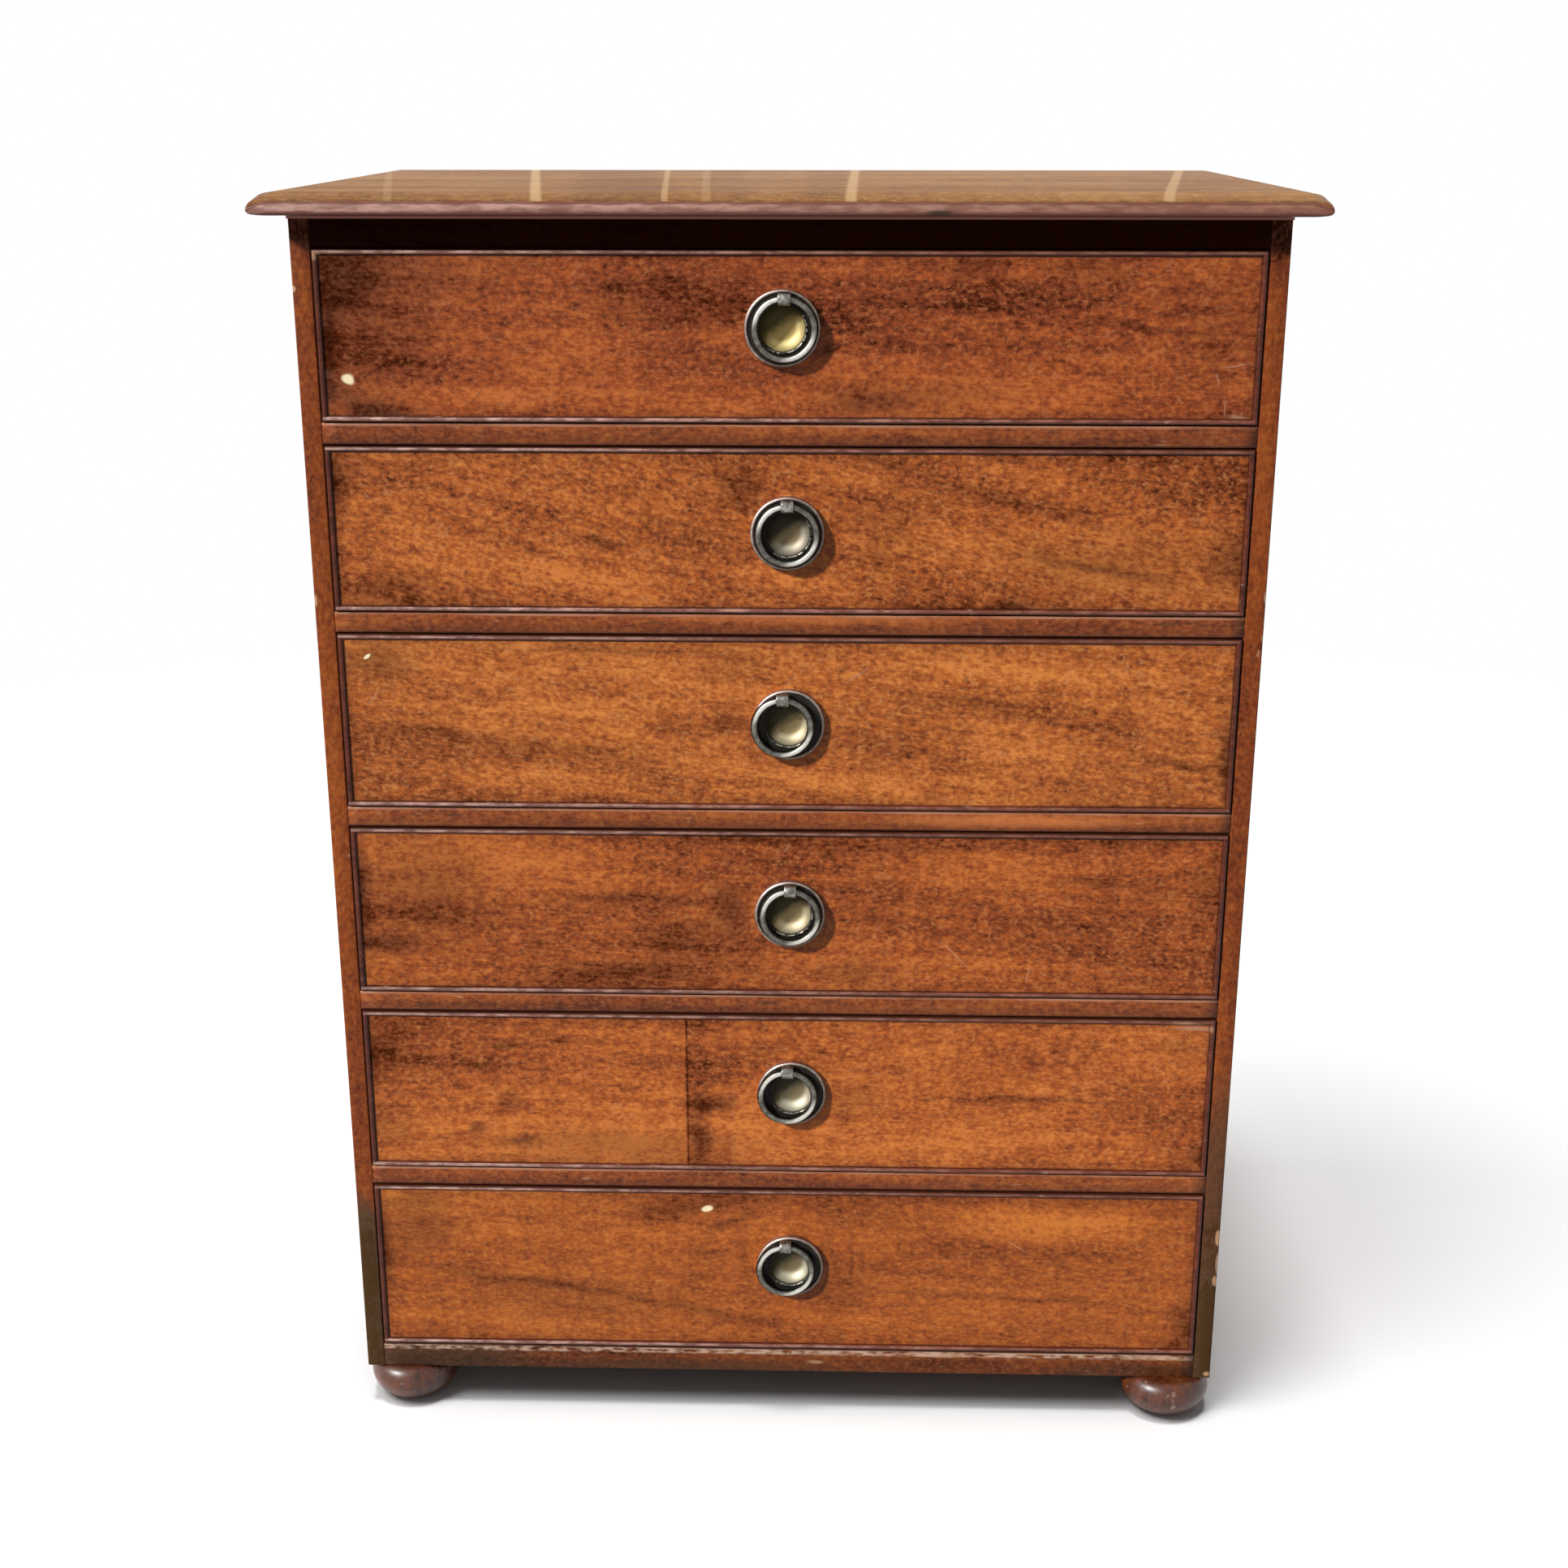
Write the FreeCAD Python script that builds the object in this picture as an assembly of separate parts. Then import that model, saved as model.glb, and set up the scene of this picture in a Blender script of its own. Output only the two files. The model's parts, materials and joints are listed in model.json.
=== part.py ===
import FreeCAD, Part
import math
import os

# A free-standing chest of six drawers that grow taller towards the floor.
# Millimetres. X runs to the right, Y to the back, Z up.
# The origin is on the floor, below the middle of the top board.

# Case
case_width = 600.0
case_depth = 388.0
side_thickness = 12.5
housing_depth = 4.0
housing_setback = 8.0

# Top board and its rounded edge
top_thickness = 15.5
top_side_overhang = 18.5
top_front_overhang = 24.0
nosing_lower_radius = 5.5
nosing_upper_radius = 6.9
nosing_ramp_run = 16.0

# Rails between and around the drawers
frieze_height = 17.0
divider_thickness = 13.6
bottom_rail_height = 19.0
rail_depth = 60.0
back_rail_depth = 45.0

# Drawer openings, from the top one down
opening_1_height = 105.0
opening_2_height = 106.0
opening_3_height = 117.0
opening_4_height = 117.5
opening_5_height = 118.0
opening_6_height = 127.0

# Bottom, back and inner fittings of the case
bottom_board_thickness = 14.0
back_board_thickness = 8.0
back_board_rebate = 6.0
back_board_count = 4
back_board_bevel = 1.2
runner_width = 24.0
runner_end_gap = 6.0
stop_width = 24.0
stop_length = 14.0
stop_height = 4.0
stop_share = 0.34
glue_block_leg = 13.0
glue_block_length = 60.0
front_block_shares = (-0.3, -0.1, 0.1, 0.3)
back_block_shares = (-0.25, 0.25)

# Screws that hold the top board
screw_head_radius = 4.0
screw_head_depth = 2.6
screw_radius = 2.0
screw_grip = 9.0
screw_point_length = 3.0
screw_sides = 8
screw_shares = (-0.4, 0.0, 0.4)

# Turned feet
foot_height = 30.0
foot_radius = 31.0
foot_side_proud = 1.5
foot_left_proud = 8.5
foot_right_proud = 14.5
foot_back_inset = 1.5
foot_sides = 20
spigot_radius = 9.0
spigot_height = 10.0
foot_profile_shares = (
    (0.40, 0.0),
    (0.68, 0.08),
    (0.91, 0.30),
    (1.0, 0.60),
    (0.93, 0.86),
    (0.72, 1.0),
)

# Drawer boxes
drawer_gap = 0.6
side_top_gap = 1.2
drawer_rear_gap = 18.0
front_thickness = 18.0
front_lap = 6.0
side_stock = 8.0
back_stock = 8.0
back_drop = 7.0
panel_raise = 8.0
panel_thickness = 5.0
panel_groove = 4.0
tail_count = 3
tail_slope = 1 / 7
pin_width = 4.0
half_pin = 5.0

# Cockbeads, the narrow rounded strips round each drawer front
bead_width = 3.5
bead_proud = 1.8
bead_rebate = 5.0
bead_nose_steps = 4

# Places of the pulls on the drawer fronts: across the width from the middle, and up the opening
pull_x_shares = (-0.0052, 0.0003, 0.0017, 0.0033, 0.0057, 0.004)
pull_z_shares = (0.555, 0.492, 0.503, 0.507, 0.514, 0.534)

# How far each pull is turned on its drawer front, in degrees; its ring still hangs plumb
pull_turns = (4.0, 0.0, -12.0, 1.0, -9.0, -10.0)

# Pull plate with its raised rim and sunk bowl
plate_radius = 23.3
plate_sides = 24
rim_width = 1.8
rim_height = 4.2
rim_bevel = 0.5
channel_height = 3.0
bowl_radius = 14.2
bowl_depth = 7.4
plate_gauge = 0.9
bowl_steps = 3
bowl_back_steps = 2
recess_radius = 15.6
recess_depth = 6.2
recess_sides = 16

# Ring, its eye, and the shank and nut that hold the eye
ring_radius = 18.1
ring_bar_radius = 2.4
ring_bar_sides = 8
ring_standoff = 7.4
eye_radius = 4.3
eye_bore_radius = 3.1
eye_width = 8.0
eye_sides = 12
shank_radius = 2.0
shank_root = 3.8
shank_end = 1.0
shank_sides = 8
nut_width = 10.0
nut_thickness = 3.0

# Places that follow from the sizes above
opening_heights = (
    opening_1_height,
    opening_2_height,
    opening_3_height,
    opening_4_height,
    opening_5_height,
    opening_6_height,
)
drawer_count = len(opening_heights)
divider_stack = (drawer_count - 1) * divider_thickness
case_height = frieze_height + sum(opening_heights) + divider_stack + bottom_rail_height
case_bottom = foot_height
case_top = case_bottom + case_height
top_width = case_width + 2 * top_side_overhang
top_depth = case_depth + top_front_overhang
back_y = top_depth / 2
front_y = back_y - case_depth
rail_back_y = front_y + rail_depth
back_inner_y = back_y - back_board_thickness
opening_half = case_width / 2 - side_thickness
front_half = opening_half - drawer_gap
side_inner_half = front_half - side_stock
front_back_y = front_y + front_thickness
drawer_back_y = back_inner_y - drawer_rear_gap


def vector(x, y, z):
    return FreeCAD.Vector(x, y, z)


def span(one, other):
    """Two places in rising order."""
    return (min(one, other), max(one, other))


def block(x_span, y_span, z_span):
    """A square-edged board between three pairs of places."""
    sizes = [high - low for low, high in (x_span, y_span, z_span)]
    return Part.makeBox(sizes[0], sizes[1], sizes[2], vector(x_span[0], y_span[0], z_span[0]))


def prism(outline, run):
    """A closed outline of points pushed straight along a vector."""
    wire = Part.makePolygon(outline + outline[:1])
    return Part.Face(wire).extrude(run)


def upright(radius, angle, height):
    return vector(radius * math.cos(angle), radius * math.sin(angle), height)


def facing_front(radius, angle, height):
    return vector(radius * math.cos(angle), -height, radius * math.sin(angle))


def along_x(radius, angle, height):
    return vector(height, radius * math.cos(angle), radius * math.sin(angle))


def turned(profile, sides, point_at):
    """A faceted turning of a closed profile of (radius, height) points.

    The facets are flat, so that a turning and the hole it sits in meet face to face."""
    angles = [2 * math.pi * number / sides for number in range(sides + 1)]
    faces = []
    for (r0, h0), (r1, h1) in zip(profile, profile[1:] + profile[:1]):
        if r0 == 0 and r1 == 0:
            continue
        for a0, a1 in zip(angles, angles[1:]):
            corners = [point_at(r0, a0, h0), point_at(r1, a0, h1)]
            if r1 > 0:
                corners.append(point_at(r1, a1, h1))
            if r0 > 0:
                corners.append(point_at(r0, a1, h0))
            faces.append(Part.Face(Part.makePolygon(corners + corners[:1])))
    shell = Part.makeShell(faces)
    shell.sewShape()
    solid = Part.makeSolid(shell)
    if solid.Volume < 0:
        solid.reverse()
    return solid.removeSplitter()


def moved(shape, offset):
    copy = shape.copy()
    copy.translate(offset)
    return copy


def quarter_arc(start, centre, end):
    """A quarter of a circle from start to end about centre."""
    middle = (start + end) * 0.5 - centre
    middle.normalize()
    return Part.Arc(start, centre + middle * (start - centre).Length, end).toShape()


def nosed_board(place, tips, square_ends, run):
    """A board whose outline lies in one plane; each tip is rounded below a shallow ramp.

    place turns a distance along the board and a height into a point."""
    underside = case_top
    upper = case_top + top_thickness
    middle = underside + nosing_lower_radius
    crest = middle + nosing_upper_radius
    edges = []
    tops = []
    bottoms = []
    for tip, inward in tips:
        low = place(tip + inward * nosing_lower_radius, underside)
        mid = place(tip, middle)
        high = place(tip + inward * nosing_upper_radius, crest)
        edges.append(quarter_arc(low, place(tip + inward * nosing_lower_radius, middle), mid))
        edges.append(quarter_arc(mid, place(tip + inward * nosing_upper_radius, middle), high))
        bottoms.append(low)
        tops.append(place(tip + inward * (nosing_upper_radius + nosing_ramp_run), upper))
        edges.append(Part.makeLine(high, tops[-1]))
    for end in square_ends:
        bottoms.append(place(end, underside))
        tops.append(place(end, upper))
        edges.append(Part.makeLine(bottoms[-1], tops[-1]))
    edges.append(Part.makeLine(bottoms[0], bottoms[1]))
    edges.append(Part.makeLine(tops[0], tops[1]))
    wire = Part.Wire(Part.__sortEdges__(edges))
    return Part.Face(wire).extrude(run)


def top_board(screws):
    """The top, rounded at the front and both sides; the two rounded profiles meet in mitres."""
    half = top_width / 2
    tip_y = back_y - top_depth
    lengthwise = nosed_board(
        lambda place, height: vector(-half, place, height), [(tip_y, 1)], [back_y], vector(top_width, 0, 0)
    )
    crosswise = nosed_board(
        lambda place, height: vector(place, tip_y, height), [(-half, 1), (half, -1)], [], vector(0, top_depth, 0)
    )
    return lengthwise.common(crosswise).cut(screws)


def opening_spans():
    """Bottom and top of each drawer opening, from the top drawer down."""
    spans = []
    top = case_top - frieze_height
    for height in opening_heights:
        spans.append((top - height, top))
        top -= height + divider_thickness
    return spans


def front_rail(z_span):
    """A rail between the sides, with tongues that stop short of the front edge."""
    body = block((-opening_half, opening_half), (front_y, rail_back_y), z_span)
    reach = opening_half + housing_depth
    tongue = block((-reach, reach), (front_y + housing_setback, rail_back_y), z_span)
    return body.fuse(tongue).removeSplitter()


def divider_rails():
    return [front_rail((low - divider_thickness, low)) for low, high in opening_spans()[:-1]]


def top_back_rail():
    reach = opening_half + housing_depth
    y_span = (back_inner_y - back_rail_depth, back_inner_y)
    return block((-reach, reach), y_span, (case_top - frieze_height, case_top))


def side_strips(y_span, z_span, depth_into_side):
    """A pair of strips along the inner faces of the two sides."""
    strips = []
    for side in (-1, 1):
        x_span = span(side * (opening_half - runner_width), side * (opening_half + depth_into_side))
        strips.append(block(x_span, y_span, z_span))
    return strips


def drawer_runners():
    """Runners level with each divider, and thin ones on the bottom board for the lowest drawer."""
    y_span = (rail_back_y, back_inner_y - runner_end_gap)
    runners = []
    for low, high in opening_spans()[:-1]:
        runners += side_strips(y_span, (low - divider_thickness, low), housing_depth)
    lowest = (case_bottom + bottom_board_thickness, case_bottom + bottom_rail_height)
    runners += side_strips(y_span, lowest, 0)
    return runners


def kickers():
    y_span = (rail_back_y, back_inner_y - back_rail_depth)
    return side_strips(y_span, (case_top - frieze_height, case_top), housing_depth)


def drawer_stops():
    """Small blocks that the back of each drawer front comes to rest against."""
    stops = []
    for low, high in opening_spans():
        for side in (-1, 1):
            middle = side * stop_share * 2 * opening_half
            x_span = (middle - stop_width / 2, middle + stop_width / 2)
            y_span = (front_back_y, front_back_y + stop_length)
            stops.append(block(x_span, y_span, (low, low + stop_height)))
    return stops


def glue_block(middle, corner_y, away):
    """A three-cornered block in the angle between a rail and the top."""
    start = middle - glue_block_length / 2
    outline = [
        vector(start, corner_y, case_top),
        vector(start, corner_y + away * glue_block_leg, case_top),
        vector(start, corner_y, case_top - glue_block_leg),
    ]
    return prism(outline, vector(glue_block_length, 0, 0))


def glue_blocks():
    blocks = [glue_block(share * case_width, rail_back_y, 1) for share in front_block_shares]
    corner_y = back_inner_y - back_rail_depth
    blocks += [glue_block(share * case_width, corner_y, -1) for share in back_block_shares]
    return blocks


def top_screws():
    """Countersunk screws up through the front and back rails into the top."""
    length = frieze_height + screw_grip
    profile = [
        (0, 0),
        (screw_head_radius, 0),
        (screw_radius, screw_head_depth),
        (screw_radius, length - screw_point_length),
        (0, length),
    ]
    screw = turned(profile, screw_sides, upright)
    places = []
    for y in (front_y + rail_depth / 2, back_inner_y - back_rail_depth / 2):
        places += [vector(share * case_width, y, case_top - frieze_height) for share in screw_shares]
    return [moved(screw, place) for place in places]


def foot_places():
    """Names and places of the four feet, on the floor."""
    x = case_width / 2 - foot_radius + foot_side_proud
    left = front_y + foot_radius - foot_left_proud
    right = front_y + foot_radius - foot_right_proud
    back = back_y - foot_radius - foot_back_inset
    return {
        "foot_front_left": vector(-x, left, 0),
        "foot_front_right": vector(x, right, 0),
        "foot_back_left": vector(-x, back, 0),
        "foot_back_right": vector(x, back, 0),
    }


def bun_foot():
    """A squat bun with a flat underside and a spigot on top."""
    bun = [(r_share * foot_radius, h_share * foot_height) for r_share, h_share in foot_profile_shares]
    top = foot_height + spigot_height
    profile = [(0, 0)] + bun + [(spigot_radius, foot_height), (spigot_radius, top), (0, top)]
    return turned(profile, foot_sides, upright)


def bottom_board():
    reach = opening_half + housing_depth
    z_span = (case_bottom, case_bottom + bottom_board_thickness)
    return block((-reach, reach), (rail_back_y, back_inner_y), z_span)


def back_boards():
    """Upright boards side by side, each with a small bevel down its two outer edges."""
    reach = opening_half + back_board_rebate
    width = 2 * reach / back_board_count
    boards = []
    for number in range(back_board_count):
        left = -reach + number * width
        right = left + width
        outline = [
            vector(left, back_inner_y, case_bottom),
            vector(right, back_inner_y, case_bottom),
            vector(right, back_y - back_board_bevel, case_bottom),
            vector(right - back_board_bevel, back_y, case_bottom),
            vector(left + back_board_bevel, back_y, case_bottom),
            vector(left, back_y - back_board_bevel, case_bottom),
        ]
        boards.append(prism(outline, vector(0, 0, case_height)))
    return boards


def back_board_rebates():
    """The square rebates that the outer back boards sit in."""
    reach = opening_half + back_board_rebate
    return block((-reach, reach), (back_inner_y, back_y), (case_bottom, case_top))


def side_board(side, housed):
    """A side of the case, cut to take everything that is housed in it."""
    x_span = span(side * opening_half, side * case_width / 2)
    board = block(x_span, (front_y, back_y), (case_bottom, case_top))
    return board.cut(housed)


def tails(side, z_span, root_y, tip_y):
    """The dovetails on one end of a drawer side, as prisms through its thickness."""
    low, high = z_span
    room = high - low - 2 * half_pin
    width = (room - (tail_count - 1) * pin_width) / tail_count
    flare = abs(tip_y - root_y) * tail_slope
    x = side * side_inner_half
    shapes = []
    for number in range(tail_count):
        bottom = low + half_pin + number * (width + pin_width)
        top = bottom + width
        outline = [
            vector(x, root_y, bottom + flare),
            vector(x, tip_y, bottom),
            vector(x, tip_y, top),
            vector(x, root_y, top - flare),
        ]
        shapes.append(prism(outline, vector(side * side_stock, 0, 0)))
    return shapes


def side_span(low, high):
    """Bottom and top edge of a drawer side."""
    return (low, high - side_top_gap)


def back_span(low, high):
    """Bottom and top edge of a drawer back, which stands on the bottom panel."""
    return (low + panel_raise + panel_thickness, high - side_top_gap - back_drop)


def front_tails(low, high):
    shapes = []
    for side in (-1, 1):
        shapes += tails(side, side_span(low, high), front_back_y, front_y + front_lap)
    return shapes


def drawer_panel(low):
    """The bottom panel, in grooves at the sides and with its front edge in the drawer front."""
    z_span = (low + panel_raise, low + panel_raise + panel_thickness)
    reach = side_inner_half + panel_groove
    body = block((-reach, reach), (front_back_y, drawer_back_y), z_span)
    edge = block((-side_inner_half, side_inner_half), (front_back_y - panel_groove, front_back_y), z_span)
    return body.fuse(edge).removeSplitter()


def drawer_front(low, high, cutters):
    """The front, rebated all round for the beads and socketed behind for the dovetails."""
    z_span = (low + drawer_gap, high - drawer_gap)
    inner_half = front_half - bead_width
    inner_z = (z_span[0] + bead_width, z_span[1] - bead_width)
    rebate_y = front_y + bead_rebate
    face = block((-inner_half, inner_half), (front_y, rebate_y), inner_z)
    body = block((-front_half, front_half), (rebate_y, front_back_y), z_span)
    return face.fuse(body).removeSplitter().cut(cutters)


def drawer_back(low, high):
    y_span = (drawer_back_y - back_stock, drawer_back_y)
    board = block((-front_half, front_half), y_span, back_span(low, high))
    sockets = []
    for side in (-1, 1):
        sockets += tails(side, back_span(low, high), y_span[0], y_span[1])
    return board.cut(sockets)


def drawer_sides(low, high, back, panel):
    """Both sides, half-blind dovetailed to the front and through dovetailed to the back."""
    sides = []
    for side in (-1, 1):
        x_span = span(side * side_inner_half, side * front_half)
        board = block(x_span, (front_back_y, drawer_back_y), side_span(low, high))
        joints = tails(side, side_span(low, high), front_back_y, front_y + front_lap)
        sides.append(board.fuse(joints).removeSplitter().cut([back, panel]))
    return sides


def bead_bar(start, end, inward):
    """A straight bead with a half-round nose, from start to end, before its mitres are cut."""
    deep = vector(0, bead_rebate, 0)
    radius = bead_width / 2
    centre = start + inward * radius + vector(0, radius - bead_proud, 0)
    outline = [start + deep, start + deep + inward * bead_width]
    for step in range(bead_nose_steps + 1):
        angle = math.pi * step / bead_nose_steps
        forward = vector(0, -radius * math.sin(angle), 0)
        outline.append(centre + inward * radius * math.cos(angle) + forward)
    return prism(outline, end - start)


def cockbeads(low, high):
    """Four mitred beads in the rebate round a drawer front."""
    bottom = low + drawer_gap
    top = high - drawer_gap
    outer = [
        vector(-front_half, front_y, bottom),
        vector(front_half, front_y, bottom),
        vector(front_half, front_y, top),
        vector(-front_half, front_y, top),
    ]
    inwards = [vector(0, 0, 1), vector(-1, 0, 0), vector(0, 0, -1), vector(1, 0, 0)]
    beads = []
    for number, inward in enumerate(inwards):
        start = outer[number]
        end = outer[(number + 1) % len(outer)]
        along = (end - start).normalize() * bead_width
        across = inward * bead_width
        tip = vector(0, -bead_proud, 0)
        outline = [start + tip, end + tip, end - along + across + tip, start + along + across + tip]
        mitred = prism(outline, vector(0, bead_proud + bead_rebate, 0))
        beads.append(bead_bar(start, end, inward).common(mitred))
    return beads


def bowl_points(radius, bottom, reach, steps):
    """Points of a round bowl from its bottom to the given reach from the axis."""
    widest = math.asin(reach / radius)
    points = []
    for step in range(steps + 1):
        angle = widest * step / steps
        points.append((radius * math.sin(angle), bottom + radius * (1 - math.cos(angle))))
    return points


def pull_plate():
    """The pressed plate: sunk bowl, flat channel and raised rim, from its axis outwards."""
    bottom = channel_height - bowl_depth
    sphere = (bowl_radius ** 2 + bowl_depth ** 2) / (2 * bowl_depth)
    outer_sphere = sphere + plate_gauge
    back_rise = plate_gauge - bottom
    back_reach = math.sqrt(outer_sphere ** 2 - (outer_sphere - back_rise) ** 2)
    rim_inner = plate_radius - rim_width
    rim = [
        (rim_inner, channel_height),
        (rim_inner + rim_bevel, rim_height),
        (plate_radius - rim_bevel, rim_height),
        (plate_radius, 0),
    ]
    bowl = bowl_points(sphere, bottom, bowl_radius, bowl_steps)
    behind = bowl_points(outer_sphere, bottom - plate_gauge, back_reach, bowl_back_steps)
    profile = bowl + rim + behind[::-1]
    return turned(profile, plate_sides, facing_front)


def pull_shank():
    """The shank of the eye, from inside the eye back to its end behind the nut."""
    end = -(front_thickness + nut_thickness + shank_end)
    profile = [(0, end), (shank_radius, end), (shank_radius, shank_root), (0, shank_root)]
    return moved(turned(profile, shank_sides, facing_front), vector(0, 0, ring_radius))


def pull_eye():
    """The eye that the ring hangs in, bored along X; its bore is as wide as its narrowest way."""
    bore = eye_bore_radius / math.cos(math.pi / eye_sides)
    half = eye_width / 2
    profile = [(bore, -half), (eye_radius, -half), (eye_radius, half), (bore, half)]
    return moved(turned(profile, eye_sides, along_x), vector(0, -ring_standoff, ring_radius))


def pull_nut(shank):
    """A square nut that draws the shank tight behind the drawer front."""
    half = nut_width / 2
    y_span = (front_thickness, front_thickness + nut_thickness)
    body = block((-half, half), y_span, (ring_radius - half, ring_radius + half))
    return body.cut(shank)


def pull_ring():
    """The ring, hanging in front of the plate; its bar is an even-sided round."""
    profile = []
    for number in range(ring_bar_sides):
        angle = 2 * math.pi * number / ring_bar_sides
        radius = ring_radius + ring_bar_radius * math.cos(angle)
        profile.append((radius, ring_standoff + ring_bar_radius * math.sin(angle)))
    return turned(profile, plate_sides, facing_front)


def bowl_recess():
    """The hole bored in the drawer front for the bowl."""
    profile = [(0, 0), (recess_radius, 0), (recess_radius, -recess_depth), (0, -recess_depth)]
    return turned(profile, recess_sides, facing_front)


def pull_places():
    """Centre of each pull on the face of its drawer front."""
    places = []
    shares = zip(opening_spans(), pull_x_shares, pull_z_shares)
    for (low, high), x_share, z_share in shares:
        places.append(vector(x_share * 2 * opening_half, front_y, low + z_share * (high - low)))
    return places


def pull_lean(turn):
    """Where a turned pull's eye goes, from where it is on an upright one."""
    angle = math.radians(turn)
    return vector(ring_radius * math.sin(angle), 0, ring_radius * (math.cos(angle) - 1))


def fixed_pull(shank, lean):
    """A pull's plate, its eye with the shank, and the nut."""
    leaning = moved(shank, lean)
    plate = pull_plate().cut(leaning)
    post = moved(pull_eye(), lean).fuse(leaning).removeSplitter().cut(plate)
    return Part.makeCompound([plate, post, moved(pull_nut(shank), lean)])


def drawer_nodes():
    """Every node of the six drawers and their pulls."""
    shank = pull_shank()
    ring = pull_ring()
    recess = bowl_recess()
    nodes = {}
    drawers = zip(opening_spans(), pull_places(), pull_turns)
    for number, ((low, high), place, turn) in enumerate(drawers, 1):
        lean = pull_lean(turn)
        panel = drawer_panel(low)
        back = drawer_back(low, high)
        cutters = front_tails(low, high) + [panel, moved(recess, place), moved(shank, place + lean)]
        drawer = "drawer_%d_" % number
        nodes[drawer + "front"] = [drawer_front(low, high, cutters)]
        nodes[drawer + "sides"] = drawer_sides(low, high, back, panel)
        nodes[drawer + "back"] = [back]
        nodes[drawer + "bottom"] = [panel]
        nodes[drawer + "cockbeads"] = cockbeads(low, high)
        nodes["pull_%d_plate" % number] = moved(fixed_pull(shank, lean), place).Solids
        nodes["pull_%d_ring" % number] = [moved(ring, place + lean)]
    return nodes


def case_nodes():
    """Every node that stays still."""
    screws = top_screws()
    frieze = front_rail((case_top - frieze_height, case_top))
    back_rail = top_back_rail()
    dividers = divider_rails()
    bottom_rail = front_rail((case_bottom, case_bottom + bottom_rail_height))
    board = bottom_board()
    runners = drawer_runners()
    kicker_pair = kickers()
    housed = [frieze, back_rail, bottom_rail, board, back_board_rebates()]
    housed += dividers + runners + kicker_pair
    foot = bun_foot()
    feet = {name: moved(foot, place) for name, place in foot_places().items()}
    spigots = list(feet.values())
    nodes = {
        "top_board": [top_board(screws)],
        "side_left": [side_board(-1, housed)],
        "side_right": [side_board(1, housed)],
        "frieze_rail": [frieze.cut(screws)],
        "top_back_rail": [back_rail.cut(screws)],
        "divider_rails": dividers,
        "bottom_rail": [bottom_rail.cut(spigots)],
        "bottom_board": [board.cut(spigots)],
        "drawer_runners": runners,
        "kickers": kicker_pair,
        "drawer_stops": drawer_stops(),
        "back_boards": back_boards(),
        "glue_blocks": glue_blocks(),
        "top_screws": screws,
    }
    for name, shape in feet.items():
        nodes[name] = [shape]
    return nodes


def export(nodes):
    os.makedirs("parts", exist_ok=True)
    for name, solids in nodes.items():
        shape = solids[0] if len(solids) == 1 else Part.makeCompound(solids)
        shape.exportStep("parts/" + name + ".step")


export({**case_nodes(), **drawer_nodes()})
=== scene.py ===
# %% [markdown]
# # A chest of six graduated drawers
# The joinery of this chest comes from a CAD model: every board, drawer and ring is already there at
# its real size and place, and tied to the body that it moves with. In this lesson the boards get their
# mahogany and pine, and everything that a maker rounds or turns is modelled again with smooth edges.

# %% Load the frame
import json
import math

import bmesh
import bpy
from mathutils import Matrix, Vector, noise

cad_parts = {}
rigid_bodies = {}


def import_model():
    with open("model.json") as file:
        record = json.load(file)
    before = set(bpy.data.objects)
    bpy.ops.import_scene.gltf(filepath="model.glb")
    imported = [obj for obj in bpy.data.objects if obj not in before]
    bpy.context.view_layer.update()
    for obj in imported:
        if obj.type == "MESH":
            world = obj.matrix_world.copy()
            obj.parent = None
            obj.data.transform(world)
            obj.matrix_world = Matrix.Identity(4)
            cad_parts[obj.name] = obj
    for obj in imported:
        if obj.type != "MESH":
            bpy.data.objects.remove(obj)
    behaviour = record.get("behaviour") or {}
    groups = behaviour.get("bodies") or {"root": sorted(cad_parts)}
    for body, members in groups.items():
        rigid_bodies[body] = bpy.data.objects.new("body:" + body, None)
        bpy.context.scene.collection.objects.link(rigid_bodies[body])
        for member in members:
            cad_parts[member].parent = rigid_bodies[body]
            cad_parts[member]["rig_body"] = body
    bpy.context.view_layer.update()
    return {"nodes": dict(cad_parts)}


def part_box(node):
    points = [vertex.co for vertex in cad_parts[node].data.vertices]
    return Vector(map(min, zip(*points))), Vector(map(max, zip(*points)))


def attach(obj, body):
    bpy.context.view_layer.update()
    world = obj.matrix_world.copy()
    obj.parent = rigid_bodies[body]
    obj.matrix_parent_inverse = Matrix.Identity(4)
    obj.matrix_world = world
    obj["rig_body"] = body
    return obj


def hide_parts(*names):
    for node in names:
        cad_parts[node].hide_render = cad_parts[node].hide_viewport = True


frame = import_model()
mm = 0.001

# %% [markdown]
# ## The camera
# The photograph was taken from close by, a little above the top board, with the camera tipped down.
# Close cameras make the chest narrow towards the floor, so the lens, the distance and the tilt all
# have to be right together. The place is given from the front of the case and the top of its sides.

# %% Camera
image_side = 1932
focal_length_in_pixels = 2597.6
sensor_width = 36.0
side_low, side_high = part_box("side_left")
case_front = side_low.y
camera_across = 32.9 * mm
camera_distance = 1298.2 * mm
camera_above_case = 70.1 * mm
camera_tilt = math.radians(71.91)
camera_turn = math.radians(1.54)

camera_data = bpy.data.cameras.new("camera")
camera_data.sensor_width = sensor_width
camera_data.lens = focal_length_in_pixels * sensor_width / image_side
camera = bpy.data.objects.new("camera", camera_data)
camera.location = (camera_across, case_front - camera_distance, side_high.z + camera_above_case)
camera.rotation_euler = (camera_tilt, 0, camera_turn)
bpy.context.scene.collection.objects.link(camera)
bpy.context.scene.camera = camera
bpy.context.scene.view_settings.view_transform = "Standard"
print("lens in mm:", round(camera_data.lens, 1))

# %% [markdown]
# ## A finish is a small tree of nodes
# Every finish here is procedural: noise stretched along the grain, soft patches, and a colour ramp.
# Building the trees by hand repeats the same few steps, so this class has a short method for each.

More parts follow.
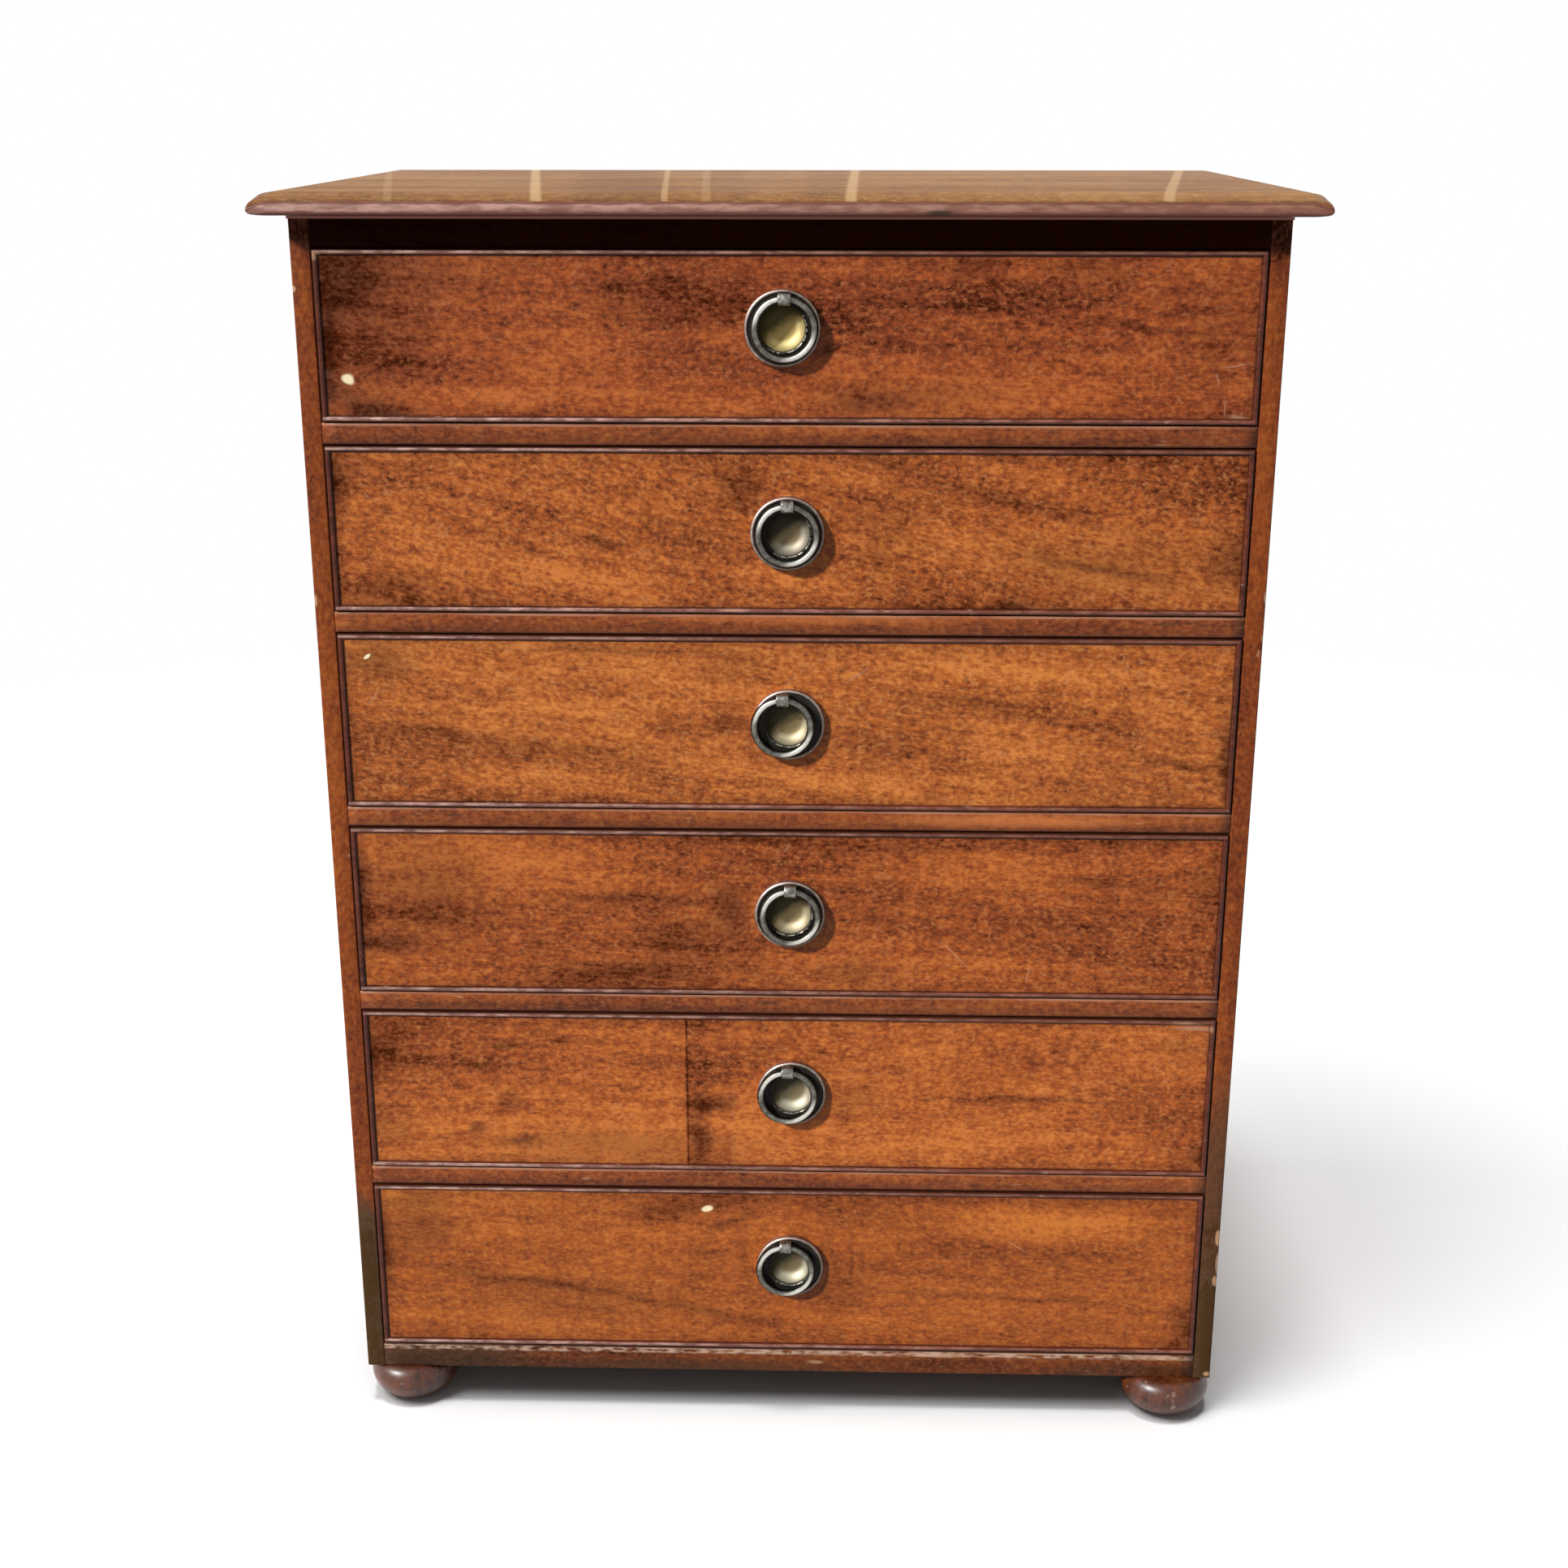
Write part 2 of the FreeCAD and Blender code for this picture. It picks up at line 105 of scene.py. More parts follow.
# %% Short ways to add nodes
class Nodes:
    """A tree of nodes, and short ways to add the ones that wood, brass and light need."""

    def __init__(self, tree):
        self.tree = tree
        tree.nodes.clear()

    def put(self, socket, value):
        if isinstance(value, bpy.types.NodeSocket):
            self.tree.links.new(value, socket)
        else:
            socket.default_value = value

    def node(self, kind, inputs=None, **settings):
        node = self.tree.nodes.new("ShaderNode" + kind)
        for name, value in settings.items():
            setattr(node, name, value)
        for name, value in (inputs or {}).items():
            self.put(node.inputs[name], value)
        return node

    def sum(self, operation, *values):
        return self.node("Math", dict(enumerate(values)), operation=operation).outputs[0]

    def times(self, one, other):
        return self.sum("MULTIPLY", one, other)

    def plus(self, one, factor, other):
        """one times a factor, plus other."""
        return self.sum("MULTIPLY_ADD", one, factor, other)

    def off(self, value, middle):
        """How far value is from middle, to either side."""
        return self.sum("ABSOLUTE", self.sum("SUBTRACT", value, middle))

    def vector(self, operation, *values, out=0):
        return self.node("VectorMath", dict(enumerate(values)), operation=operation).outputs[out]

    def parts(self, place):
        return self.node("SeparateXYZ", {"Vector": place}).outputs

    def turned(self, place, middle, turn=(0, 0, 0), size=(1, 1, 1)):
        """Places measured from a middle, turned, in units of size."""
        inputs = {"Vector": place, "Location": middle, "Rotation": turn, "Scale": size}
        return self.node("Mapping", inputs, vector_type="TEXTURE").outputs[0]

    def noise(self, place, cells, detail=2.0, roughness=0.5, out="Fac"):
        """Noise with so many cells to the metre along X, Y and Z."""
        place = self.node("Mapping", {"Vector": place, "Scale": cells}).outputs[0]
        inputs = {"Vector": place, "Scale": 1.0, "Detail": detail, "Roughness": roughness}
        return self.node("TexNoise", inputs).outputs[out]

    def ball(self, place):
        """1 at the middle of a ball of radius 1, falling to 0 at its skin."""
        return self.node("TexGradient", {"Vector": place}, gradient_type="SPHERICAL").outputs["Fac"]

    def share(self, value, low, high):
        """A smooth 0 to 1 as value goes from low to high."""
        inputs = {"Value": value, "From Min": low, "From Max": high}
        return self.node("MapRange", inputs, interpolation_type="SMOOTHSTEP").outputs[0]

    def band(self, part, level, half_width):
        """1 where a value is near a level, softly 0 beyond half_width."""
        return self.share(self.off(part, level), half_width * 1.25, half_width * 0.5)

    def between(self, value, low, high):
        """A 0 to 1 value stretched to lie between low and high."""
        return self.node("MapRange", {"Value": value, "To Min": low, "To Max": high}).outputs[0]

    def mix(self, share, one, other, blend="MIX"):
        inputs = {0: share, 6: one, 7: other}
        return self.node("Mix", inputs, data_type="RGBA", blend_type=blend).outputs[2]

    def laid(self, colour, other, share, strength):
        """A colour with another laid over it."""
        return self.mix(self.times(share, strength), colour, other)

    def ramp(self, value, stops):
        node = self.node("ValToRGB", {"Fac": value})
        points = node.color_ramp.elements
        while len(points) < len(stops):
            points.new(1.0)
        for point, (position, colour) in zip(points, stops):
            point.position = position
            point.color = (*colour, 1.0)
        return node.outputs[0]


# %% [markdown]
# A material adds its shader and the places on its piece. All patterns read Object coordinates, which
# are the real metres of the piece, so a drawer carries its grain with it when it slides out.

# %% Finish
class Finish(Nodes):
    """One material, its shader and its places."""

    def __init__(self, name):
        self.material = bpy.data.materials.new(name)
        self.material.use_nodes = True
        super().__init__(self.material.node_tree)
        self.shader = self.node("BsdfPrincipled")
        self.output = self.node("OutputMaterial", {0: self.shader.outputs[0]})
        self.place = self.node("TexCoord").outputs["Object"]

    def surface(self, **values):
        """Sets the shader's own sockets; an underscore stands for a space."""
        for name, value in values.items():
            self.put(self.shader.inputs[name.replace("_", " ")], value)

    def patch(self, place, x, z, length, height, fall=0.0, depth=2000):
        """1 at the middle of an oval patch of the front, falling to 0 at its edge.

        Lengths are in mm, and fall is in degrees down to the right. It goes half of depth in."""
        size = (length / 2 * mm, depth / 2 * mm, height / 2 * mm)
        middle = (x * mm, case_front, z * mm)
        return self.ball(self.turned(place, middle, (0, math.radians(fall), 0), size))

    def bump(self, height, depth, strength=0.6):
        inputs = {"Height": height, "Distance": depth, "Strength": strength}
        self.surface(Normal=self.node("Bump", inputs).outputs[0])


# %% [markdown]
# ## Mahogany
# Old mahogany is read at three distances. From across the room it is broad dark and golden zones, from
# a step away it is streaks, and up close it is short dark pores and a mottle of light flecks. One
# layer of noise can't do that, so six are added up, each with its own count of cells to the metre
# along and across the grain, and a ramp turns the sum into colour. Dark pores and the pale glints of
# the fibres are laid over it.

# %% The grain of mahogany
# Cells to the metre along the grain and across it, detail, and how strongly the layer shows
mahogany_layers = {
    "figure": (2.4, 17, 3.0, 1.0),
    "streak": (10, 120, 4.0, 0.55),
    "mottle": (120, 180, 2.0, 0.50),
    "fibre": (110, 700, 2.0, 0.35),
    "fleck": (280, 380, 2.0, 0.85),
    "ripple": (85, 9, 2.0, 0.22),
}
mahogany_stops = (
    (0.12, (0.060, 0.014, 0.004)),
    (0.38, (0.235, 0.054, 0.0105)),
    (0.56, (0.400, 0.105, 0.019)),
    (0.80, (0.640, 0.215, 0.046)),
)
grain_turns = {"X": (0, 0, 0), "Y": (0, 0, math.pi / 2), "Z": (0, math.pi / 2, 0)}
wobble_cells = (4, 7, 7)
wobble_reach = 16 * mm
pore_cells = (150, 1500, 1500)
pore_colour = (0.030, 0.013, 0.005, 1)
sheen_cells = (290, 400, 400)
sheen_colour = (0.62, 0.265, 0.095)


def wood_tone(wood, along, fall, seed, layers):
    """The summed layers, 0 dark to 1 light, and the grain's own coordinates."""
    turn = Vector(grain_turns[along]) + Vector((0, math.radians(fall), 0))
    grain = wood.turned(wood.place, (seed, seed * 0.37, seed * 0.61), turn)
    wobble = wood.noise(grain, wobble_cells, 1.0, out="Color")
    bent = wood.vector("MULTIPLY_ADD", wobble, (wobble_reach,) * 3, grain)
    tone = 0.5 - sum(strength for *_, strength in layers.values()) / 2
    for lengthwise, across, detail, strength in layers.values():
        layer = wood.noise(bent, (lengthwise, across, across), detail, 0.6)
        tone = wood.plus(layer, strength, tone)
    return tone, bent


def mahogany(
    name, along, seed, tint, fall=0.0, lift=0.0, calm=1.0, layers=mahogany_layers, shade=None
):
    """The material, its colour before chips and scratches, and its tone.

    calm below 1 gives a quieter board; shade may darken and lighten the tone here and there."""
    wood = Finish(name)
    tone, grain = wood_tone(wood, along, fall, seed, layers)
    tone = wood.plus(tone, calm, 0.5 - 0.5 * calm + lift)
    if shade:
        tone = shade(wood, tone)
    colour = wood.mix(1.0, wood.ramp(tone, mahogany_stops), (*tint, 1), "MULTIPLY")
    pores = wood.share(wood.noise(grain, pore_cells, 1.0), 0.60, 0.72)
    colour = wood.mix(wood.between(pores, 0.0, 0.32), colour, pore_colour)
    # Pale flecks: painted glints of the fibres, laid over the grain.
    sheen = wood.share(wood.noise(grain, sheen_cells), 0.53, 0.68)
    tinted_sheen = [light * part for light, part in zip(sheen_colour, tint)]
    colour = wood.mix(wood.between(sheen, 0.0, 0.42 * calm), colour, (*tinted_sheen, 1))
    return wood, colour, tone


def polish(wood, colour, tone, low, high, level, depth=0.12 * mm):
    """The waxed surface: uneven gloss, duller where the wood is dark, and a slight height."""
    patchy = wood.noise(wood.place, (14, 14, 14), 3.0)
    gloss = wood.between(wood.share(tone, 0.05, 0.42), level * 0.12, level)
    wood.surface(
        Base_Color=colour, Roughness=wood.between(patchy, low, high), Specular_IOR_Level=gloss
    )
    wood.bump(tone, depth)
    return wood.material


# %% [markdown]
# ## Drawer fronts
# The six fronts are cut from different boards, so each has its own grain, slope and tint. What makes
# them these six fronts are their marks: dark stains, rubbed golden zones, a pieced end, chips and
# scratches. Each mark is an oval that is bent by noise, and this table says where they are.

# %% What is on each front
# Places in mm from the middle of the drawer's opening, x to the right and z up.
# Stains and rubs: x, z, length, height, strength, and the fall in degrees where there is one.
# Chips and scratches: x, z, length, height, fall.
front_looks = {}
front_looks[1] = dict(
    tint=(0.78, 0.61, 0.58), fall=1.0, seed=3.1, lift=-0.05, calm=1.0,
    stains=(
        (-260, 6, 130, 150, 0.6), (-275, 36, 90, 70, 0.7), (-284, -10, 34, 110, 0.6),
        (-252, -46, 96, 26, 0.8, 22), (-70, 24, 170, 46, 0.4, 2), (-128, 18, 9, 9, 0.6),
        (-215, 36, 150, 34, 0.4), (80, -34, 180, 30, 0.4), (180, 38, 90, 26, 0.4),
        (262, 2, 70, 110, 0.35), (215, 7, 150, 9, 0.6, 6), (48, -38, 90, 22, 0.5),
        (112, 40, 70, 22, 0.5), (-190, -36, 46, 3, 0.4, -38),
    ),
    rubs=(
        (-106, 8, 110, 56, 0.35), (-140, -20, 170, 60, 0.55), (-175, -38, 90, 22, 0.5),
        (110, 8, 190, 30, 0.35, 3), (-40, 2, 120, 24, 0.35), (150, -32, 200, 30, 0.3),
    ),
    chips=((-269.5, -26, 11, 9, 20),),
    scratches=(
        (272, -16, 26, 1.6, -10), (261, -24, 14, 1.6, 75), (267, -42, 18, 1.6, 95),
        (276, -49, 22, 7, 10),
    ),
)
front_looks[2] = dict(
    tint=(0.94, 0.86, 0.78), fall=11.0, seed=7.7, lift=-0.04, calm=1.05,
    stains=(
        (200, -22, 230, 70, 0.35), (-250, -40, 110, 46, 0.5), (60, 0, 80, 90, 0.25),
        (-30, 28, 60, 36, 0.65, 30), (-118, -9, 50, 8, 0.7, 12), (-161, -13, 11, 9, 0.7),
        (-251, 12, 12, 12, 0.6), (-283, 30, 34, 70, 0.7), (140, -47, 40, 16, 0.9),
        (140, -50, 190, 9, 0.6), (275, -16, 50, 70, 0.6), (150, 16, 190, 12, 0.45, 13),
        (190, -22, 190, 12, 0.45, 12), (70, 40, 130, 10, 0.45, 14), (-60, 2, 150, 8, 0.4, 14),
    ),
    rubs=(
        (-140, 6, 150, 66, 0.4), (-215, 20, 150, 60, 0.45), (-120, -30, 200, 30, 0.35, 6),
        (230, 36, 110, 20, 0.35), (60, -30, 90, 30, 0.3),
    ),
    chips=(),
    scratches=((-262, 22, 10, 1.4, 60),),
)
front_looks[3] = dict(
    tint=(0.99, 0.965, 0.90), fall=6.0, seed=12.9, lift=0.02, calm=0.95,
    stains=(
        (-262, 40, 80, 46, 0.65), (-35, 40, 70, 34, 0.25), (-170, -16, 240, 22, 0.4, 4),
        (-230, -6, 110, 14, 0.4, 2), (160, 4, 240, 9, 0.35, 10), (120, 16, 150, 7, 0.45, 8),
        (250, -24, 90, 10, 0.6, 5), (-38, 0, 46, 22, 0.55), (114, 31, 12, 4, 0.6, 50),
        (-158, -1, 10, 6, 0.6), (283, -20, 26, 90, 0.7), (-120, 47, 180, 9, 0.45),
    ),
    rubs=(
        (-160, -38, 240, 40, 0.45), (150, -10, 180, 66, 0.35), (-120, 12, 220, 30, 0.35),
        (160, 36, 200, 24, 0.35, 5), (40, -38, 240, 24, 0.35, 2),
    ),
    chips=((-268, 43, 8, 4, -40),),
    scratches=((-266, 16, 20, 1.6, -50), (45, 33, 30, 1.6, -35)),
)
front_looks[4] = dict(
    tint=(0.85, 0.72, 0.62), fall=1.5, seed=17.3, lift=-0.01, calm=1.0,
    stains=(
        (-240, 10, 150, 120, 0.5), (-35, -20, 80, 70, 0.3), (40, -42, 90, 30, 0.4),
        (-38, 6, 42, 56, 0.75), (-105, 9, 150, 20, 0.65), (-105, -44, 190, 30, 0.75, -2),
        (-272, -24, 90, 26, 0.75), (-283, 14, 26, 90, 0.65), (-165, -22, 20, 7, 0.6, -10),
        (-75, -18, 70, 44, 0.6), (70, 8, 7, 7, 0.6), (200, -10, 9, 9, 0.5), (276, 20, 44, 70, 0.5),
        (210, 22, 150, 12, 0.45, 6), (60, 46, 200, 10, 0.45), (-20, 52, 90, 14, 0.5),
    ),
    rubs=(
        (120, 34, 250, 56, 0.45), (130, 10, 230, 60, 0.4), (-190, 34, 160, 30, 0.3),
        (10, 40, 70, 22, 0.35), (220, 40, 110, 20, 0.35), (120, -30, 260, 22, 0.25, 3),
    ),
    chips=(),
    scratches=((-1, 46, 14, 1.6, -60), (111, -28, 44, 1.5, 45), (160, -42, 18, 1.5, 100)),
)
front_looks[5] = dict(
    tint=(0.95, 0.84, 0.73), fall=0.0, seed=21.4, lift=0.01, calm=0.92, joint=-68.0,
    stains=(
        (-120, -40, 320, 40, 0.45), (40, -6, 90, 50, 0.35), (262, 38, 60, 34, 0.35),
        (-190, 33, 26, 10, 0.7, -5), (-155, 38, 24, 8, 0.6, -5), (-212, 20, 30, 12, 0.6),
        (-190, -8, 24, 26, 0.5), (-213, -28, 18, 14, 0.7), (-184, -37, 40, 12, 0.6),
        (-272, 30, 70, 70, 0.65), (-270, -30, 60, 50, 0.35), (-52, -8, 60, 18, 0.85),
        (-60, -30, 26, 80, 0.6), (160, -3, 260, 6, 0.6), (210, 36, 34, 2.4, 0.6, -14),
        (283, -44, 40, 34, 0.7),
    ),
    rubs=(
        (-80, 36, 180, 44, 0.35), (-150, 20, 130, 70, 0.45), (-120, -30, 110, 30, 0.3),
        (60, 34, 180, 30, 0.3), (120, -34, 300, 30, 0.3), (220, 26, 110, 24, 0.25),
    ),
    chips=(),
    scratches=((275, 52, 44, 6, 0),),
)
front_looks[6] = dict(
    tint=(0.885, 0.785, 0.585), fall=3.0, seed=28.8, lift=0.0, calm=0.74,
    stains=(
        (-255, 30, 90, 60, 0.45), (-150, -25, 260, 66, 0.3), (35, -10, 90, 76, 0.3),
        (-70, 48, 120, 26, 0.6, -10), (-40, 36, 60, 12, 0.6, -30), (-180, -12, 240, 14, 0.55, 8),
        (-60, -34, 160, 12, 0.5, 10), (150, -20, 260, 10, 0.5, 3), (-60, 12, 50, 10, 0.5),
        (46, 0, 4, 60, 0.4), (-284, 10, 26, 100, 0.6), (279, -40, 34, 70, 0.6),
        (-260, 50, 90, 22, 0.4),
    ),
    rubs=(
        (170, 42, 280, 48, 0.4), (262, 10, 60, 46, 0.35), (190, 40, 240, 50, 0.5, 2),
        (-150, 28, 200, 20, 0.25, 3), (-190, -42, 180, 26, 0.25, 4), (60, 20, 80, 40, 0.3),
        (140, 2, 200, 16, 0.25, 3),
    ),
    chips=((-55, 47, 12, 7, -20),),
    scratches=((160, 20, 30, 1.4, 40),),
)
drawers = tuple(front_looks)
print("marks on the fronts:", sum(len(looks["stains"] + looks["rubs"]) for looks in front_looks.values()))

# %% [markdown]
# ### From the table to the wood
# A stain darkens the wood's own colour and a rub lifts its tone, so the grain goes on through both.
# Only chips and scratches have a colour of their own, because they show bare wood.

# %% Marks
stain_tint = (0.25, 0.22, 0.19, 1)
stain_dulling = -0.30
rub_lift = 0.30
# Kind, colour, where the oval begins to show and where it is full, and how strongly
bare_marks = (
    ("chips", (0.95, 0.80, 0.52, 1), 0.12, 0.55, 0.95),
    ("scratches", (0.50, 0.30, 0.20, 1), 0.1, 0.8, 0.45),
)
mark_wobble = 5 * mm
small_mark = 30


def bent_place(wood, reach, inward=0.0, cells=(38, 38, 60), detail=3.0):
    """The piece's own places, pushed about by noise, so that no mark has a drawn outline."""
    push = wood.noise(wood.place, cells, detail, out="Color")
    push = wood.vector("SUBTRACT", push, (0.5, 0.5, 0.5))
    return wood.vector("MULTIPLY_ADD", push, (reach, inward, reach), wood.place)


def shift_tone(wood, tone, marks, change, middle_z=0.0, depth=2000):
    """Moves the tone by change inside oval marks; the grain shows through them as it did."""
    hard, soft = bent_place(wood, mark_wobble), bent_place(wood, 3 * mark_wobble)
    ragged = wood.plus(wood.noise(wood.place, (55, 70, 120), 4.0), 0.4, -0.2)
    for x, z, length, height, strength, *fall in marks:
        place = hard if max(length, height) < small_mark else soft
        oval = wood.patch(place, x, z + middle_z / mm, length, height, *fall, depth=depth)
        share = wood.share(wood.sum("ADD", oval, ragged), 0.05, 0.90)
        tone = wood.plus(share, change * strength, tone)
    return tone


def stained(wood, colour, tone, marks, middle_z, dirt):
    """Darkens oval marks as damp and old polish do, and dulls them; dirt is the edges' share."""
    hard, soft = bent_place(wood, 0.6 * mark_wobble), bent_place(wood, 3 * mark_wobble)
    dark = dirt
    for x, z, length, height, strength, *fall in marks:
        small = max(length, height) < small_mark
        oval = wood.patch(hard if small else soft, x, z + middle_z / mm, length, height, *fall)
        dark = wood.plus(wood.share(oval, 0.0, 0.75 if small else 0.95), strength, dark)
    dark = wood.sum("MINIMUM", dark, 1.0)
    stain = wood.mix(1.0, colour, stain_tint, "MULTIPLY")
    return wood.mix(dark, colour, stain), wood.plus(dark, stain_dulling, tone)


def nicked(wood, colour, looks, middle_z):
    """Lays the bare chips and scratches over a front's colour."""
    hard = bent_place(wood, mark_wobble)
    for kind, mark_colour, low, high, strength in bare_marks:
        for x, z, length, height, fall in looks[kind]:
            oval = wood.patch(hard, x, z + middle_z / mm, length, height, fall)
            colour = wood.laid(colour, mark_colour, wood.share(oval, low, high), strength)
    return colour


def pieced(wood, tone, joint):
    """The fifth front is pieced out at its left: a dark joint, dark on its right side."""
    beyond = wood.sum("SUBTRACT", wood.parts(wood.place)[0], joint * mm)
    line = wood.share(wood.sum("ABSOLUTE", beyond), 1.3 * mm, 0.2 * mm)
    fade = wood.share(beyond, 40 * mm, 0)
    right = wood.share(beyond, -0.2 * mm, 0.2 * mm)
    tone = wood.plus(wood.times(fade, right), -0.20, tone)
    return wood.plus(line, -0.30, tone)


# %% [markdown]
# ### Dressing the fronts
# Dirt and old wax darken a band beside the beads, and a thin line right at the beads is painted shade.
# The shape of a CAD board is good as it is, so a front only gets a new material in its slot.

# %% Finish of a drawer front
bead_width = 3.5 * mm
quirk_shade_colour = (0.030, 0.010, 0.004, 1)


def edge_share(wood, x_span, z_span, reach, ragged):
    """1 at the edges of a front, 0 further in than reach; ragged moves the line about."""
    x, y, z = wood.parts(wood.place)
    nearest = None
    for part, (low, high) in ((x, x_span), (z, z_span)):
        inside = wood.sum("SUBTRACT", (high - low) / 2, wood.off(part, (low + high) / 2))
        nearest = inside if nearest is None else wood.sum("MINIMUM", nearest, inside)
    nearest = wood.plus(ragged, reach, nearest)
    return wood.share(nearest, reach * 1.5, reach * 0.45)


def front_finish(number):
    """The finish of one drawer front, with dirt along the beads where a cloth doesn't reach, and a line of
    painted shade right at them.
    """
    looks = front_looks[number]
    low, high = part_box("drawer_%d_front" % number)
    middle_z = (low.z + high.z) / 2
    x_span = (low.x + bead_width, high.x - bead_width)
    z_span = (low.z + bead_width, high.z - bead_width)

    def shade(wood, tone):
        if "joint" in looks:
            tone = pieced(wood, tone, looks["joint"])
        return shift_tone(wood, tone, looks["rubs"], rub_lift, middle_z)

    board = {key: looks[key] for key in ("tint", "fall", "lift", "calm")}
    name = "drawer_%d_front_mahogany" % number
    wood, colour, tone = mahogany(name, "X", looks["seed"], shade=shade, **board)
    ragged = wood.noise(wood.place, (30, 30, 30), 3.0)
    dirt = wood.times(edge_share(wood, x_span, z_span, 9 * mm, ragged), 0.30)
    colour, tone = stained(wood, colour, tone, looks["stains"], middle_z, dirt)
    colour = nicked(wood, colour, looks, middle_z)
    # Painted shade: a near-black line right beside the beads.
    quirk = edge_share(wood, x_span, z_span, 1.1 * mm, ragged)
    colour = wood.laid(colour, quirk_shade_colour, quirk, 0.9)
    return polish(wood, colour, tone, 0.36, 0.54, 0.26)


def dress(finish, *names):
    """Gives CAD nodes a finish without touching their shape."""
    for name in names:
        slots = frame["nodes"][name].data.materials
        slots.clear()
        slots.append(finish)


for number in drawers:
    dress(front_finish(number), "drawer_%d_front" % number)
print("drawer fronts dressed:", len(drawers))

# %% [markdown]
# ## Case boards
# The sides run with upright grain, the rails with level grain. The rails are paler along their front
# arrises, while the lower ends of the sides have stood in floor polish and damp and have gone nearly
# black. The bottom rail is scuffed by shoes. Where the top board and the drawers shade the boards, that
# shade is painted into their colour: at the upper ends of the sides, on the frieze and along the gaps.

# %% Finish of the sides
pale_wood = (0.52, 0.30, 0.17, 1)
case_dirt = (0.024, 0.015, 0.007, 1)
floor_dirt = (0.066, 0.033, 0.013, 1)
dirt_and_shade_depth = 260
chip_depth = 14


def with_patches(wood, colour, patches, patch_colour, low=0.0, high=0.8, bend=6 * mm, depth=2000):
    """Lays oval patches, given in mm on the front plane, over a board's colour."""
    bent = bent_place(wood, bend, bend, (45, 45, 45), 4.0)
    for x, z, length, height, strength in patches:
        share = wood.share(wood.patch(bent, x, z, length, height, depth=depth), low, high)
        colour = wood.laid(colour, patch_colour, share, strength)
    return colour


def speckled(wood, colour, speck_colour, cells, low, high, strength):
    """Small worn specks, where a noise is at its highest."""
    specks = wood.share(wood.noise(wood.place, cells, 3.0, 0.6), low, high)
    return wood.laid(colour, speck_colour, specks, strength)


def side_finish():
    """Upright grain, nearly black with dirt at the floor, and with painted shade in the corner under the top
    board.

    The dirt and the painted shade go 130 mm in from the front, and the chips are in the front arris alone."""
    # The first four are floor dirt at the lower ends; the last two are painted shade under the top board.
    floor_dirt_and_top_shade = (
        (-300, 50, 70, 260, 1.0), (-296, 120, 40, 110, 0.9), (300, 130, 60, 330, 0.7),
        (300, 50, 60, 180, 0.8), (-294, 820, 60, 56, 1.0), (294, 818, 60, 84, 1.0),
    )
    wood, colour, tone = mahogany(
        "side_mahogany", "Z", 41.3, (0.55, 0.42, 0.30), calm=0.75,
        shade=lambda wood, tone: shift_tone(wood, tone, floor_dirt_and_top_shade, -0.34, depth=dirt_and_shade_depth),
    )
    colour = with_patches(wood, colour, floor_dirt_and_top_shade[:4], floor_dirt, 0.0, 0.45, depth=dirt_and_shade_depth)
    chips = (
        (299, 142, 5, 16, 0.9), (300, 122, 4, 22, 0.8), (299, 108, 5, 10, 0.8),
        (297, 33, 6, 5, 0.9), (-299, 783, 4, 5, 0.9), (-299, 590, 3, 10, 0.7),
        (300, 596, 4, 12, 0.9), (300, 570, 3, 8, 0.7),
    )
    colour = with_patches(wood, colour, chips, pale_wood, 0.1, 0.4, 3 * mm, chip_depth)
    colour = speckled(wood, colour, pale_wood, (160, 160, 90), 0.70, 0.76, 0.5)
    return polish(wood, colour, tone, 0.36, 0.55, 0.22)


# %% [markdown]
# The rails share one board and differ in their wear and in their painted shade. A line along a rail is
# drawn by its height alone, and is broken up by noise, because a perfect line would look painted on.

# %% Finishes of the rails
beaten_colour = (0.50, 0.33, 0.235, 1)
gap_shade = (0.035, 0.008, 0.003, 1)
glowing_wood = (0.62, 0.19, 0.055, 1)
divider_arris = (0.38, 0.17, 0.10, 1)
divider_arris_height = 2.4 * mm
divider_height = 13.6 * mm


def rail_finish(name, seed, tint, lift, calm, specks):
    wood, colour, tone = mahogany(name, "X", seed, tint, 0.0, lift, calm)
    colour = speckled(wood, colour, pale_wood, (60, 200, 330), 0.66, 0.74, specks)
    colour = speckled(wood, colour, case_dirt, (22, 160, 160), 0.60, 0.72, 0.55)
    return wood, colour, tone


def bottom_rail_finish():
    """Dark at the left, redder to the right, with a pale scuffed upper arris."""
    wood, colour, tone = rail_finish("bottom_rail_mahogany", 57.9, (0.40, 0.36, 0.36), -0.02, 0.8, 0.5)
    dark = ((-285, 36, 260, 70, 0.7), (-80, 30, 300, 24, 0.5), (250, 32, 160, 20, 0.4))
    colour = with_patches(wood, colour, dark, case_dirt, 0.0, 0.5)
    scuffs = (
        (-60, 48, 150, 3.5, 0.6), (60, 48.5, 260, 3, 0.75), (190, 48, 170, 3.5, 0.8),
        (110, 45, 60, 5, 0.5), (-230, 48, 90, 3, 0.4), (262, 46, 40, 5, 0.6), (20, 38, 16, 4, 0.5),
    )
    colour = with_patches(wood, colour, scuffs, pale_wood, 0.05, 0.6, 3 * mm)
    beaten = wood.noise(wood.place, (150, 300, 420), 3.0)
    level = wood.parts(wood.place)[2]
    beaten = wood.times(wood.share(level, 42.9 * mm, 44.7 * mm), wood.share(beaten, 0.36, 0.68))
    colour = wood.laid(colour, beaten_colour, beaten, 0.9)
    # Painted shade along the gap under the lowest drawer.
    colour = wood.mix(wood.share(level, 47.2 * mm, 48.0 * mm), colour, gap_shade)
    return polish(wood, colour, tone, 0.4, 0.6, 0.2)


